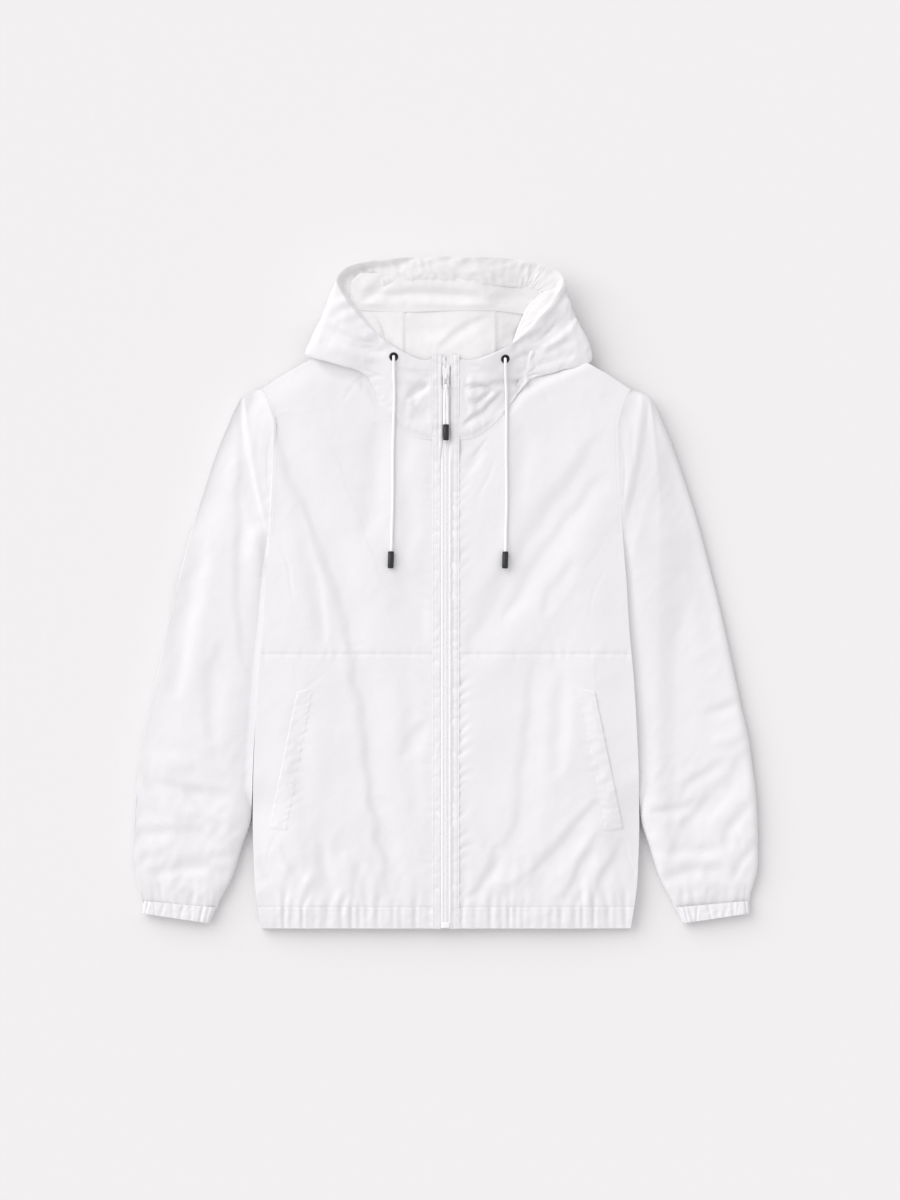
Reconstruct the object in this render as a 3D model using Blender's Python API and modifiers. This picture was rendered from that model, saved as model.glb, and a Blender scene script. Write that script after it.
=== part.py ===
"""A hooded windbreaker jacket laid flat on its back, zipped up, with the hood spread open above the collar.

The model is in metres. It lies on the plane Z = 0, the zip runs along Y and the hood points to +Y.
Tables and named sizes are in millimetres, and MM turns them into metres. Left and right are the viewer's.
"""

import math

import bmesh
import bpy
import numpy as np
from mathutils import Matrix, Vector

MM = 0.001

# Cloth walls and the gaps between neighbours
WALL = 1.2
TRIM_WALL = 0.8
SEAM_GAP = 0.4
LAY_GAP = 0.35
LAP = WALL + LAY_GAP
ON_PANEL = (WALL + TRIM_WALL) / 2 + LAY_GAP

# Body: heights of the seams that run across it
HEM_BOTTOM = -401.4
HEM_TOP = -375.0
CROSS_SEAM = -71.4
ARM_TOP = 246.6
NECK_POINT = (95.0, 305.0)
ZIP_EDGE = 5.6
# The tables measure Y from 401.4 above the hem. The outline's middle lies this much further up.
OUTLINE_MIDDLE = 1.25
FLOOR_SHEET = WALL / 2
SIDE_ROUND = 62.0
SHOULDER_ROUND = 36.0
BACK_CURL = 16.0
SHOULDER_HEIGHT = 6.0

# The body's edge from hem to shoulder: the side seam, then the armhole above the armpit.
# y, half width, height of the front's edge, height of the back's edge
SIDE = (
    (-401.4, 222.0, 7.8, 6.4),
    (-375.0, 226.2, 8.0, 6.7),
    (-347.4, 229.6, 8.0, 7.2),
    (-317.4, 231.2, 8.0, 7.2),
    (-271.8, 232.3, 8.0, 7.2),
    (-210.6, 231.2, 8.0, 7.2),
    (-165.0, 229.2, 8.0, 7.2),
    (-103.8, 225.6, 8.0, 7.2),
    (-42.6, 220.0, 8.0, 7.0),
    (17.4, 216.4, 8.2, 6.4),
    (65.4, 212.4, 9.0, 3.0),
    (105.0, 210.0, 15.5, 0.6),
    (163.8, 207.6, 20.0, 0.6),
    (201.0, 206.6, 19.5, 0.6),
    (232.0, 214.5, 13.0, 1.6),
    (246.6, 222.0, 6.6, 5.0),
)
# The front's height along the body: y, height
FRONT = (
    (-401.4, 18.0),
    (-375.0, 20.5),
    (-340.0, 24.0),
    (-250.0, 26.0),
    (-71.4, 27.5),
    (60.0, 29.0),
    (185.0, 28.0),
    (305.0, 27.0),
)
# The shoulder seam, from the neck point out: x, y
SHOULDER = (
    (0.0, 318.0),
    (95.0, 305.0),
    (130.0, 293.5),
    (166.0, 281.0),
    (194.0, 265.0),
    (222.0, 246.6),
)
# The front neckline, from the zip to the neck point: x, y
NECKLINE = (
    (5.6, 185.5),
    (30.0, 188.0),
    (55.0, 203.0),
    (75.0, 226.0),
    (88.0, 258.0),
    (95.0, 305.0),
)
# The back neckline: x, y
BACK_NECKLINE = (
    (0.0, 290.0),
    (35.0, 291.5),
    (70.0, 297.5),
    (95.0, 305.0),
)
# The largest folds of the fronts, as straight troughs: x and y of both ends, half width, depth
FOLDS = (
    (-200.0, 195.0, -148.0, 67.0, 16.0, 3.0),
    (-148.0, 67.0, -112.0, -60.0, 18.0, 3.5),
    (-112.0, -60.0, -84.0, -256.0, 18.0, 3.5),
    (-84.0, -256.0, -65.0, -347.0, 15.0, 2.5),
    (175.0, 167.0, 108.0, 70.0, 17.0, 3.0),
    (108.0, 70.0, 30.0, -68.0, 18.0, 3.5),
    (175.0, 61.0, 112.0, -30.0, 14.0, 2.0),
    (93.0, -98.0, 81.0, -256.0, 16.0, 3.0),
    (81.0, -256.0, 47.0, -341.0, 14.0, 2.5),
    (158.0, -276.0, 106.0, -352.0, 13.0, 3.0),
    (182.0, -312.0, 148.0, -362.0, 12.0, 3.0),
    (-205.0, -335.0, -170.0, -366.0, 12.0, 2.5),
    (40.0, 180.0, 22.0, 132.0, 11.0, 2.0),
)

# Sleeve stations from the armhole to the cuff: the outer edge, the inner edge, its gap to the body's side,
# the height of the front and the height of both edges.
# place along, outer x, outer y, inner y, inner gap, height, edge height
SLEEVE = (
    (0.00, 222.6, 246.8, 65.0, 1.0, 20.0, 7.0),
    (0.06, 243.2, 237.4, 49.0, 1.9, 23.0, 7.0),
    (0.12, 261.6, 201.0, 29.0, 1.9, 25.0, 8.0),
    (0.20, 275.0, 169.0, 4.0, 1.9, 26.0, 8.0),
    (0.30, 296.0, 106.0, -42.0, 1.9, 26.0, 8.0),
    (0.40, 310.8, 55.0, -88.0, 1.9, 25.0, 8.0),
    (0.50, 327.0, -8.0, -134.0, 1.9, 24.5, 8.0),
    (0.60, 340.2, -68.0, -180.0, 1.9, 24.0, 8.0),
    (0.70, 354.6, -135.0, -224.0, 2.4, 24.0, 8.0),
    (0.78, 365.8, -188.0, -266.0, 4.6, 23.5, 8.0),
    (0.86, 373.2, -262.0, -302.0, 13.0, 22.5, 8.0),
    (0.93, 374.8, -320.0, -340.0, 27.0, 20.0, 7.0),
    (1.00, 364.0, -366.6, -374.4, 49.5, 15.5, 6.5),
)
SLEEVE_FOLDS = (
    (252.0, 120.0, 257.0, 30.0, 14.0, 3.0),
    (257.0, 30.0, 242.0, -80.0, 14.0, 2.5),
    (-335.0, -230.0, -262.0, -245.0, 10.0, 3.0),
    (-356.0, -284.0, -268.0, -296.0, 10.0, 3.0),
    (366.0, -192.0, 298.0, -260.0, 13.0, 4.0),
    (298.0, -260.0, 272.0, -305.0, 11.0, 3.0),
    (330.0, -330.0, 275.0, -326.0, 9.0, 2.5),
)
# The fold that the sleeve cap makes beside the armhole: y, x. The cloth steps down outside it.
CAP_FOLD = ((76.0, 214.0), (122.0, 226.0), (167.0, 235.0), (205.0, 241.0), (237.0, 243.6))
CAP_STEP = 5.0

# Cuff: outer and inner corner at its seam and at its open end, and its heights
CUFF_SEAM = ((364.0, -367.6), (275.6, -375.4))
CUFF_END = ((364.4, -382.8), (284.6, -394.8))
CUFF_HEIGHT = 14.5
CUFF_EDGE = 6.5
CUFF_GATHERS = 10
HEM_GATHERS = 12
GATHER_RISE = 1.1

# Hood, right half. Rays run from the neck seam over two bends to the rim of the opening, from the zip round
# the side to the middle of the top. The inner edge of the casing follows.
# neck x, y, z, low bend x, y, z, high bend x, y, z, rim x, y, z, casing x, y, z
HOOD = (
    (5.6, 184.0, 29.6, 5.6, 214.0, 32.2, 5.6, 250.0, 36.5, 5.6, 285.0, 41.0, 5.6, 254.0, 35.0),
    (28.0, 187.0, 29.8, 28.0, 215.0, 32.6, 27.0, 247.0, 36.4, 25.0, 274.0, 39.8, 27.0, 248.0, 34.5),
    (54.0, 203.5, 29.8, 54.0, 230.0, 33.6, 56.0, 262.0, 38.2, 58.0, 291.0, 42.0, 55.0, 265.0, 36.0),
    (77.0, 228.0, 29.8, 80.0, 252.0, 32.6, 84.0, 277.0, 39.0, 82.0, 306.0, 43.2, 70.0, 290.0, 37.0),
    (91.0, 257.0, 29.8, 103.0, 262.5, 31.4, 112.0, 279.0, 39.4, 103.0, 325.0, 44.8, 82.0, 322.0, 38.5),
    (99.0, 288.0, 27.6, 134.0, 272.5, 30.0, 146.0, 289.0, 38.4, 121.0, 347.0, 46.4, 93.0, 345.0, 40.0),
    (102.0, 310.0, 8.0, 168.0, 285.0, 20.0, 160.0, 308.0, 33.0, 131.0, 362.0, 47.2, 102.0, 354.0, 41.0),
    (86.0, 304.6, 1.2, 142.0, 337.0, 3.0, 147.0, 342.0, 30.0, 135.4, 375.0, 47.8, 106.0, 359.0, 41.6),
    (66.0, 298.4, 0.6, 124.0, 368.0, 0.9, 133.0, 378.0, 28.0, 124.0, 390.0, 47.6, 101.0, 363.0, 42.0),
    (50.0, 294.8, 0.6, 96.0, 383.0, 0.6, 103.0, 393.0, 26.0, 101.0, 396.6, 47.0, 88.0, 366.0, 42.0),
    (34.0, 292.4, 0.6, 55.0, 389.0, 0.6, 58.0, 399.4, 25.0, 57.0, 401.4, 46.2, 54.0, 369.0, 41.2),
    (0.0, 291.2, 0.6, 0.0, 391.0, 0.6, 0.0, 402.2, 25.0, 0.0, 403.2, 45.8, 0.0, 371.0, 40.6),
)
HOOD_LEAN = 5.0
HOOD_DROOP = 4.0
CENTRE_RAY = 9.6
CASING_START = 0.5
# The folded crown inside the hood, from the collar to the top: y, half width, height
CROWN = (
    (298.0, 76.0, 22.0),
    (316.0, 96.0, 24.5),
    (331.0, 110.0, 26.5),
    (337.0, 114.0, 31.0),
    (352.0, 121.0, 34.5),
    (370.0, 121.0, 37.6),
    (394.0, 98.0, 39.0),
)
CROWN_UNDERSIDE = 1.7

# Zip along Y: height of the cloth's middle beside it, body first and then the collar: y, height
ZIP_LINE = (
    (-401.4, 18.0),
    (-375.0, 20.5),
    (-340.0, 24.0),
    (-250.0, 26.0),
    (-71.4, 27.5),
    (60.0, 29.0),
    (185.0, 28.0),
    (214.0, 30.65),
    (250.0, 34.95),
    (285.0, 39.45),
)
ZIP_BOTTOM = -400.0
ZIP_TOP = 283.0
TAPE_DROP = 1.75
TAPE_HALF = 13.0
CHAIN_WIDTH = 5.6
CHAIN_HEIGHT = 2.0
PLACKET_OUTER = 15.6
BOX_SIZE = (9.0, 7.0, 3.2)
SLIDER_TOP = 274.0
SLIDER_BOTTOM = 252.6
SLIDER_WIDTH = 9.0
SLIDER_HEIGHT = 3.6
BRIDGE_LENGTH = 8.4
BRIDGE_WIDTH = 2.0
BRIDGE_RISE = 4.4
BRIDGE_BAR = 1.2
BRIDGE_ROOT = 1.0
BRIDGE_PLACE = -3.2
TAB_WIDTH = 6.6
TAB_THICK = 1.3
TAB_LENGTH = 15.0
TAB_HOLE = (3.4, 9.6)
TAB_BAR = 1.4
PULL_CORD_THICK = 3.4
PULL_TIP = (7.4, 19.2)
PULL_TIP_TOP = 203.4

# Pocket welts on the lower fronts: the two ends of the opening edge and of the inner edge
WELT_OPENING = ((178.0, -114.0), (213.0, -283.0))
WELT_INNER = ((156.5, -109.0), (190.0, -287.0))

# Eyelets and drawcords
EYELETS = {"left": (-62.4, 283.8), "right": (70.8, 281.4)}
EYELET_MIDDLE = 4.0
EYELET_WIRE = 1.3
EYELET_HEIGHT = 1.5
CORD = 3.4
CORD_ROUTES = {
    "left": (
        (-62.4, 283.8),
        (-62.3, 276.0),
        (-62.0, 240.0),
        (-63.0, 180.0),
        (-64.0, 120.0),
        (-64.8, 80.0),
        (-65.4, 52.4),
    ),
    "right": (
        (70.8, 281.4),
        (71.0, 273.5),
        (71.8, 240.0),
        (72.4, 180.0),
        (72.2, 115.0),
        (71.6, 80.0),
        (71.2, 52.4),
    ),
}
TIP_SIZE = (7.5, 20.4)

COLOURS = {
    "nylon": ((0.88, 0.87, 0.89, 1.0), 0.55, 0.0),
    "lining": ((0.84, 0.83, 0.82, 1.0), 0.6, 0.0),
    "white cord": ((0.85, 0.85, 0.84, 1.0), 0.7, 0.0),
    "white coat": ((0.82, 0.82, 0.82, 1.0), 0.35, 0.0),
    "black rubber": ((0.025, 0.025, 0.028, 1.0), 0.45, 0.0),
    "black metal": ((0.03, 0.03, 0.03, 1.0), 0.3, 0.8),
}


def column(table, index):
    return np.array([row[index] for row in table], float)


def smooth(keys, values, at):
    """A smooth curve through the values at the keys that never overshoots them."""
    at = np.clip(np.asarray(at, float), keys[0], keys[-1])
    rises = np.diff(values) / np.diff(keys)
    before, after = rises[:-1], rises[1:]
    both = np.where(before * after > 0, before + after, 1.0)
    inner = np.where(before * after > 0, 2 * before * after / both, 0.0)
    slopes = np.concatenate([rises[:1], inner, rises[-1:]])
    i = np.clip(np.searchsorted(keys, at, side="right") - 1, 0, len(keys) - 2)
    step = keys[i + 1] - keys[i]
    t = (at - keys[i]) / step
    return (
        values[i] * (1 + 2 * t) * (1 - t) ** 2
        + values[i + 1] * t * t * (3 - 2 * t)
        + step * t * (1 - t) * (slopes[i] * (1 - t) - slopes[i + 1] * t)
    )


def from_table(table, index, at):
    return smooth(column(table, 0), column(table, index), at)


def rounded(t):
    """Rises from 0 to 1 as a quarter circle, upright at 0 and level at 1."""
    return np.sqrt(np.maximum(0.0, 1 - (1 - np.clip(t, 0, 1)) ** 2))


def eased(t):
    t = np.clip(t, 0, 1)
    return t * t * (3 - 2 * t)


def half_width(y):
    return from_table(SIDE, 1, y) - WALL / 2


def shoulder_distance(x, y):
    keys = column(SHOULDER, 0)
    return 0.9 * (np.interp(np.abs(x), keys, column(SHOULDER, 1)) - y)


def folds_at(table, x, y):
    """How far the troughs in the table sink the cloth at x, y."""
    drop = np.zeros(np.broadcast(x, y).shape)
    for x0, y0, x1, y1, half, depth in table:
        run = np.array([x1 - x0, y1 - y0])
        length = np.hypot(*run)
        t = ((x - x0) * run[0] + (y - y0) * run[1]) / length**2
        off = np.hypot(x - x0 - t.clip(0, 1) * run[0], y - y0 - t.clip(0, 1) * run[1])
        drop += depth * np.exp(-((off / half) ** 2))
    return drop


def front_height(x, y):
    """The middle of the front's wall above the floor."""
    edge = from_table(SIDE, 2, y)
    full = from_table(FRONT, 1, y)
    side = rounded((half_width(y) - np.abs(x)) / SIDE_ROUND)
    z = edge + (full - edge) * side
    z = z - folds_at(FOLDS, x, y) * side * eased((np.abs(x) - PLACKET_OUTER) / 40)
    top = rounded(shoulder_distance(x, y) / SHOULDER_ROUND)
    return SHOULDER_HEIGHT + (z - SHOULDER_HEIGHT) * top


def back_height(x, y):
    """The middle of the back's wall: level on the floor, and curled up to the seams at its edges."""
    edge = from_table(SIDE, 3, y) - FLOOR_SHEET
    side = 1 - rounded((half_width(y) - np.abs(x)) / BACK_CURL)
    top = 1 - rounded(shoulder_distance(x, y) / BACK_CURL)
    top_edge = np.where(np.abs(x) > NECK_POINT[0] - 1, SHOULDER_HEIGHT - 0.8 - FLOOR_SHEET, 0.0)
    return FLOOR_SHEET + np.maximum(edge * side, top_edge * top)


def along_line(points, t):
    """Points at the fractions t of a polyline's length."""
    points = np.array(points, float)
    lengths = np.concatenate([[0], np.cumsum(np.hypot(*np.diff(points, axis=0).T))])
    lengths /= lengths[-1]
    return np.stack([np.interp(t, lengths, points[:, 0]), np.interp(t, lengths, points[:, 1])], -1)


def between_edges(low, high, near, far, u, v):
    """A patch between four edge curves: low and high at v = 0 and 1, near and far at u = 0 and 1."""
    u = u[..., None]
    v = v[..., None]
    corners = (1 - u) * ((1 - v) * low[0] + v * high[0]) + u * ((1 - v) * low[-1] + v * high[-1])
    return (1 - v) * low[1] + v * high[1] + (1 - u) * near + u * far - corners


def in_metres(x, y, z):
    return np.stack(np.broadcast_arrays(x, y, z), -1) * MM


NECK_SHARE = 5 / 12


def body_patch(neckline, bottom, t, v, centre):
    """x and y over one half of the body, from y = bottom to its top edges. t runs out from the zip."""
    u = np.sin(t * math.pi / 2)
    shoulder = tuple(row for row in SHOULDER if row[0] >= NECK_POINT[0])
    top_y = np.array(neckline[0][1])
    side_top = np.array([half_width(ARM_TOP), ARM_TOP])
    at_neck = along_line(neckline, np.clip(t / NECK_SHARE, 0, 1))
    at_shoulder = along_line(shoulder, np.clip((t - NECK_SHARE) / (1 - NECK_SHARE), 0, 1))
    top = np.where((t <= NECK_SHARE)[..., None], at_neck, at_shoulder)
    top[..., 0] = np.where(t <= NECK_SHARE, np.maximum(top[..., 0], centre), top[..., 0])
    top = top + (side_top - np.array(SHOULDER[-1])) * eased((t - NECK_SHARE) / (1 - NECK_SHARE))[..., None]
    low_far = half_width(bottom)
    low = np.stack([centre + (low_far - centre) * u, np.full_like(u, bottom)], -1)
    near = np.stack([np.full_like(v, centre), bottom + (top_y - bottom) * v], -1)
    far_y = bottom + (ARM_TOP - bottom) * v
    far = np.stack([half_width(far_y), far_y], -1)
    low_ends = (np.array([centre, bottom]), low, np.array([low_far, bottom]))
    high_ends = (np.array([centre, top_y]), top, side_top)
    return between_edges(low_ends, high_ends, near, far, u, v)


def front_upper(side):
    def form(t, v):
        v = np.sin(v * math.pi / 2)
        at = body_patch(NECKLINE, CROSS_SEAM + SEAM_GAP / 2, t, v, ZIP_EDGE)
        x = side * at[..., 0]
        return in_metres(x, at[..., 1], front_height(x, at[..., 1]))

    return form


def front_strip(side, bottom, top, gathers=0):
    """The front between two heights, with gathers worked into it as waves along x."""

    def form(t, v):
        y = bottom + (top - bottom) * v
        u = t if gathers else np.sin(t * math.pi / 2)
        x = side * (ZIP_EDGE + (half_width(y) - ZIP_EDGE) * u)
        fade = eased((1 - t) * 8) * eased((t - 0.06) * 12)
        wave = GATHER_RISE * np.cos(2 * math.pi * gathers * t) * fade if gathers else 0.0
        return in_metres(x, y, front_height(x, y) + wave)

    return form


def back_form(s, v):
    t = np.abs(2 * s - 1)
    side = np.where(s < 0.5, -1.0, 1.0)
    v = np.sin(v * math.pi / 2)
    at = body_patch(BACK_NECKLINE, HEM_TOP + SEAM_GAP / 2, t, v, 0.0)
    x = side * at[..., 0]
    return in_metres(x, at[..., 1], back_height(x, at[..., 1]))


def hem_back_form(s, v):
    y = HEM_BOTTOM + (HEM_TOP - SEAM_GAP / 2 - HEM_BOTTOM) * v
    u = np.sin((2 * s - 1) * math.pi / 2)
    x = u * half_width(y)
    return in_metres(x, y, back_height(x, y))


def sleeve_form(side):
    def form(a, v):
        v = v**1.5
        outer = np.stack([from_table(SLEEVE, 1, v), from_table(SLEEVE, 2, v)], -1)
        inner_y = from_table(SLEEVE, 3, v)
        inner = np.stack([half_width(inner_y) + from_table(SLEEVE, 4, v), inner_y], -1)
        t = (1 - np.cos(2 * math.pi * a)) / 2
        at = outer + (inner - outer) * t[..., None]
        seam_x = half_width(at[..., 1]) + 1.0
        near_seam = 1 - eased(v / 0.12)
        x = at[..., 0] + (seam_x - at[..., 0]) * near_seam
        y = at[..., 1]
        chord = np.hypot(*np.moveaxis(inner - outer, -1, 0))
        height = from_table(SLEEVE, 5, v)
        edge = from_table(SLEEVE, 6, v)
        from_edge = np.minimum(t, 1 - t) * chord
        dome = edge + (height - edge) * rounded(from_edge / (0.45 * chord))
        outside = x - np.interp(y, column(CAP_FOLD, 0), column(CAP_FOLD, 1))
        step = CAP_STEP * eased(outside / 8) * eased((y - 60) / 60) * rounded(from_edge / 30)
        dome = dome - step - folds_at(SLEEVE_FOLDS, side * x, y) * rounded(from_edge / 25)
        seam = front_height(half_width(y), y)
        front = dome + (seam - dome) * near_seam
        back_edge = edge + (seam - edge) * near_seam
        back = FLOOR_SHEET + (back_edge - FLOOR_SHEET) * (1 - rounded(from_edge / 14))
        return in_metres(side * x, y, np.where(a <= 0.5, front, back))

    return form


def cuff_form(side):
    def form(a, v):
        t = (1 - np.cos(2 * math.pi * a)) / 2
        t = np.where(a <= 0.5, 2 * a, t)
        start = np.array(CUFF_SEAM)
        end = np.array(CUFF_END)
        outer = start[0] + (end[0] - start[0]) * v[..., None]
        inner = start[1] + (end[1] - start[1]) * v[..., None]
        at = outer + (inner - outer) * t[..., None]
        chord = np.hypot(*np.moveaxis(inner - outer, -1, 0))
        from_edge = np.minimum(t, 1 - t) * chord
        wave = GATHER_RISE * np.cos(2 * math.pi * CUFF_GATHERS * t) * eased(from_edge / 10 - 0.4)
        front = CUFF_EDGE + (CUFF_HEIGHT - CUFF_EDGE) * rounded(from_edge / 34) + wave
        back = FLOOR_SHEET + (CUFF_EDGE - FLOOR_SHEET) * (1 - rounded(from_edge / 12))
        return in_metres(side * at[..., 0], at[..., 1], np.where(a <= 0.5, front, back))

    return form


def hood_control(ray, first):
    """x, y, z at this ray number of the HOOD columns that start at first."""
    rays = np.arange(len(HOOD), dtype=float)
    return np.stack([smooth(rays, column(HOOD, first + i), ray) for i in range(3)], -1)


def leaned(points, side):
    """Mirrors the right half to a side. The hood leans to +X and hangs lower over that shoulder."""
    x, y, z = np.moveaxis(points, -1, 0)
    raised = eased(z / 30)
    lean = HOOD_LEAN * eased((y - 250) / 60) * eased((x - 12) / 40) * raised
    droop = HOOD_DROOP * eased((x - 60) / 30) * (1 - eased((y - 280) / 30)) * raised
    return in_metres(side * x + lean, y - side * droop, z)


def hood_surface(ray, v):
    knots = np.stack([hood_control(ray, first) for first in (0, 3, 6, 9)], -2)
    place = v * 3
    i = np.clip(np.floor(place), 0, 2).astype(int)
    t = (place - i)[..., None]

    def knot(number):
        number = np.clip(number, 0, 3)
        return np.take_along_axis(knots, number[..., None, None], -2)[..., 0, :]

    start, end = knot(i), knot(i + 1)
    leave = (end - knot(i - 1)) / 2
    arrive = (knot(i + 2) - start) / 2
    points = (
        start * (1 + 2 * t) * (1 - t) ** 2
        + end * t * t * (3 - 2 * t)
        + t * (1 - t) * (leave * (1 - t) - arrive * t)
    )
    points[..., 2] = np.maximum(points[..., 2], FLOOR_SHEET)
    return points


def hood_side(side):
    def form(s, v):
        return leaned(hood_surface(s * (CENTRE_RAY - 0.02), v), side)

    return form


def hood_centre(s, v):
    t = 2 * s - 1
    last = len(HOOD) - 1
    ray = last - np.abs(t) * (last - CENTRE_RAY - 0.02)
    return leaned(hood_surface(ray, v), np.where(t < 0, -1.0, 1.0))


def casing_form(s, v):
    """The facing inside the rim, from zip edge round to zip edge."""
    t = 2 * s - 1
    last = len(HOOD) - 1
    ray = last - (last - CASING_START) * np.abs(t)
    rim = hood_control(ray, 9)
    inner = hood_control(ray, 12)
    run = inner - rim
    flat = run * np.array([1.0, 1.0, 0.0])
    away = flat / np.linalg.norm(flat, axis=-1, keepdims=True)
    behind = eased((ray - 3) / 3)[..., None]
    start = rim + behind * away * 1.6 + (1 - behind) * np.array([0.0, -1.0, -1.7]) * 1.2
    return leaned(start + (inner - start) * v[..., None], np.where(t < 0, -1.0, 1.0))


def new_material(name):
    material = bpy.data.materials.get(name) or bpy.data.materials.new(name)
    colour, roughness, metallic = COLOURS[name]
    material.use_nodes = True
    shader = material.node_tree.nodes["Principled BSDF"]
    shader.inputs["Base Color"].default_value = colour
    shader.inputs["Roughness"].default_value = roughness
    shader.inputs["Metallic"].default_value = metallic
    return material


def finish(obj, name, material):
    obj.name = name
    obj.data.name = name
    obj.data.materials.clear()
    obj.data.materials.append(new_material(material))
    for holder in list(obj.users_collection):
        holder.objects.unlink(obj)
    parts.objects.link(obj)
    obj.parent = ground
    return obj


def cloth(name, form, columns, rows, material="nylon", wall=WALL, tube=False):
    """A grid laid over the form, thickened to the wall. On a tube its first and last columns are joined."""
    bpy.ops.mesh.primitive_grid_add(x_subdivisions=columns, y_subdivisions=rows, size=1)
    obj = bpy.context.object
    mesh = obj.data
    flat = np.empty(len(mesh.vertices) * 3)
    mesh.vertices.foreach_get("co", flat)
    flat = flat.reshape(-1, 3) + 0.5
    points = form(flat[:, 0].clip(0, 1), flat[:, 1].clip(0, 1))
    mesh.vertices.foreach_set("co", points.ravel())
    if tube:
        shape = bmesh.new()
        shape.from_mesh(mesh)
        bmesh.ops.remove_doubles(shape, verts=shape.verts, dist=1e-5)
        shape.to_mesh(mesh)
        shape.free()
    mesh.shade_smooth()
    solidify = obj.modifiers.new("Wall", "SOLIDIFY")
    solidify.thickness = wall * MM
    solidify.offset = 0.0
    return finish(obj, name, material)


def strip_on(height, inner, outer, lift):
    """A form for a strip between two lines of x, y points, lifted off the surface that height gives."""

    def form(s, v):
        a = along_line(inner, v)
        b = along_line(outer, v)
        at = a + (b - a) * s[..., None]
        return in_metres(at[..., 0], at[..., 1], height(at[..., 0], at[..., 1]) + lift)

    return form


def zip_height(_, y):
    return from_table(ZIP_LINE, 1, y)


def placket_height(x, y):
    """The top layer beside the zip: the body's front, then the collar that laps over it."""
    return zip_height(x, y) + LAP * eased((y - 150) / 30)


def box(name, size, centre, material, bevel=0.0):
    """A box of the size and centre in millimetres."""
    bpy.ops.mesh.primitive_cube_add(size=1)
    obj = bpy.context.object
    obj.data.transform(Matrix.Diagonal((size[0] * MM, size[1] * MM, size[2] * MM, 1)))
    obj.location = Vector(centre) * MM
    if bevel:
        rounding = obj.modifiers.new("Rounding", "BEVEL")
        rounding.width = bevel * MM
        rounding.segments = 2
    return finish(obj, name, material)


def as_cutter(obj):
    for holder in list(obj.users_collection):
        holder.objects.unlink(obj)
    cutters.objects.link(obj)
    obj.hide_render = True
    obj.display_type = "WIRE"
    return obj


def combine(obj, other, operation):
    modifier = obj.modifiers.new(operation.title(), "BOOLEAN")
    modifier.object = as_cutter(other)
    modifier.operation = operation
    modifier.solver = "EXACT"


def rod(name, points, thick, material, sides=2):
    """A round cord through the points, which are in metres."""
    curve = bpy.data.curves.new(name, "CURVE")
    curve.dimensions = "3D"
    curve.bevel_depth = thick / 2 * MM
    curve.bevel_resolution = sides
    curve.use_fill_caps = True
    spline = curve.splines.new("POLY")
    spline.points.add(len(points) - 1)
    for spline_point, point in zip(spline.points, points):
        spline_point.co = (*point, 1)
    return finish(bpy.data.objects.new(name, curve), name, material)


def capsule(name, width, length, top, direction, material):
    """A tip moulded on a cord: a rounded cylinder that starts at top and runs in the direction."""
    bpy.ops.mesh.primitive_cylinder_add(vertices=14, radius=width / 2 * MM, depth=length * MM)
    obj = bpy.context.object
    direction = Vector(direction).normalized()
    obj.location = Vector(top) + direction * length / 2 * MM
    obj.rotation_euler = direction.to_track_quat("Z", "Y").to_euler()
    rounding = obj.modifiers.new("Rounding", "BEVEL")
    rounding.width = 0.16 * width * MM
    rounding.segments = 2
    obj.data.shade_smooth()
    return finish(obj, name, material)


def hood_samples():
    """Points all over both halves of the hood's outer sheet, in millimetres."""
    ray, v = np.meshgrid(np.linspace(0, CENTRE_RAY, 120), np.linspace(0, 1, 90), indexing="ij")
    right = leaned(hood_surface(ray, v), 1.0) / MM
    left = leaned(hood_surface(ray, v), -1.0) / MM
    return np.concatenate([right.reshape(-1, 3), left.reshape(-1, 3)])


def top_height(x, y, reach):
    """The highest cloth within reach of x, y: the front or the hood's outer sheet."""
    ring = np.linspace(0, 2 * math.pi, 12, endpoint=False)
    around_x = np.append(x + reach * np.cos(ring), x)
    around_y = np.append(y + reach * np.sin(ring), y)
    body = front_height(around_x, around_y).max() if y < 262 else 0.0
    near = np.hypot(outer_hood[:, 0] - x, outer_hood[:, 1] - y) < reach + 1.2
    return max(body, outer_hood[near, 2].max(initial=0.0)) + WALL / 2


def drawcord(side):
    """The free end of the hood's cord, from the eyelet down over the collar and the chest."""
    knots = np.array(CORD_ROUTES[side])
    steps = np.hypot(*np.diff(knots, axis=0).T)
    places = np.concatenate([[0], np.cumsum(steps)])
    at = np.linspace(0, places[-1], int(places[-1] / (2.4 * CORD)) + 1)
    x = smooth(places, knots[:, 0], at)
    y = smooth(places, knots[:, 1], at)
    z = np.array([top_height(px, py, 3.2) for px, py in zip(x, y)]) + LAY_GAP + CORD / 2
    eyelet_top = top_height(*EYELETS[side], 5.3) + LAY_GAP + EYELET_HEIGHT
    z = np.maximum(z, np.where(at < 12, eyelet_top + LAY_GAP + CORD / 2, 0.0))
    tip_rise = TIP_SIZE[0] / 2 - CORD / 2
    z = z + tip_rise * eased((at - places[-1] + 30) / 24)
    z[1:-1] = np.maximum(z[1:-1], (z[:-2] + z[2:]) / 2)
    points = in_metres(x, y, z)
    start = in_metres(x[0], y[0], top_height(*EYELETS[side], 1.0) + LAY_GAP)
    points = np.concatenate([start[None], points])
    rod(f"drawcord_{side}", points, CORD, "white cord")
    down = points[-1] - points[-2]
    tip_top = points[-1] + down / np.linalg.norm(down) * LAY_GAP * MM
    capsule(f"cord_tip_{side}", *TIP_SIZE, tip_top, (down[0], down[1], 0.0), "black rubber")


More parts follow.
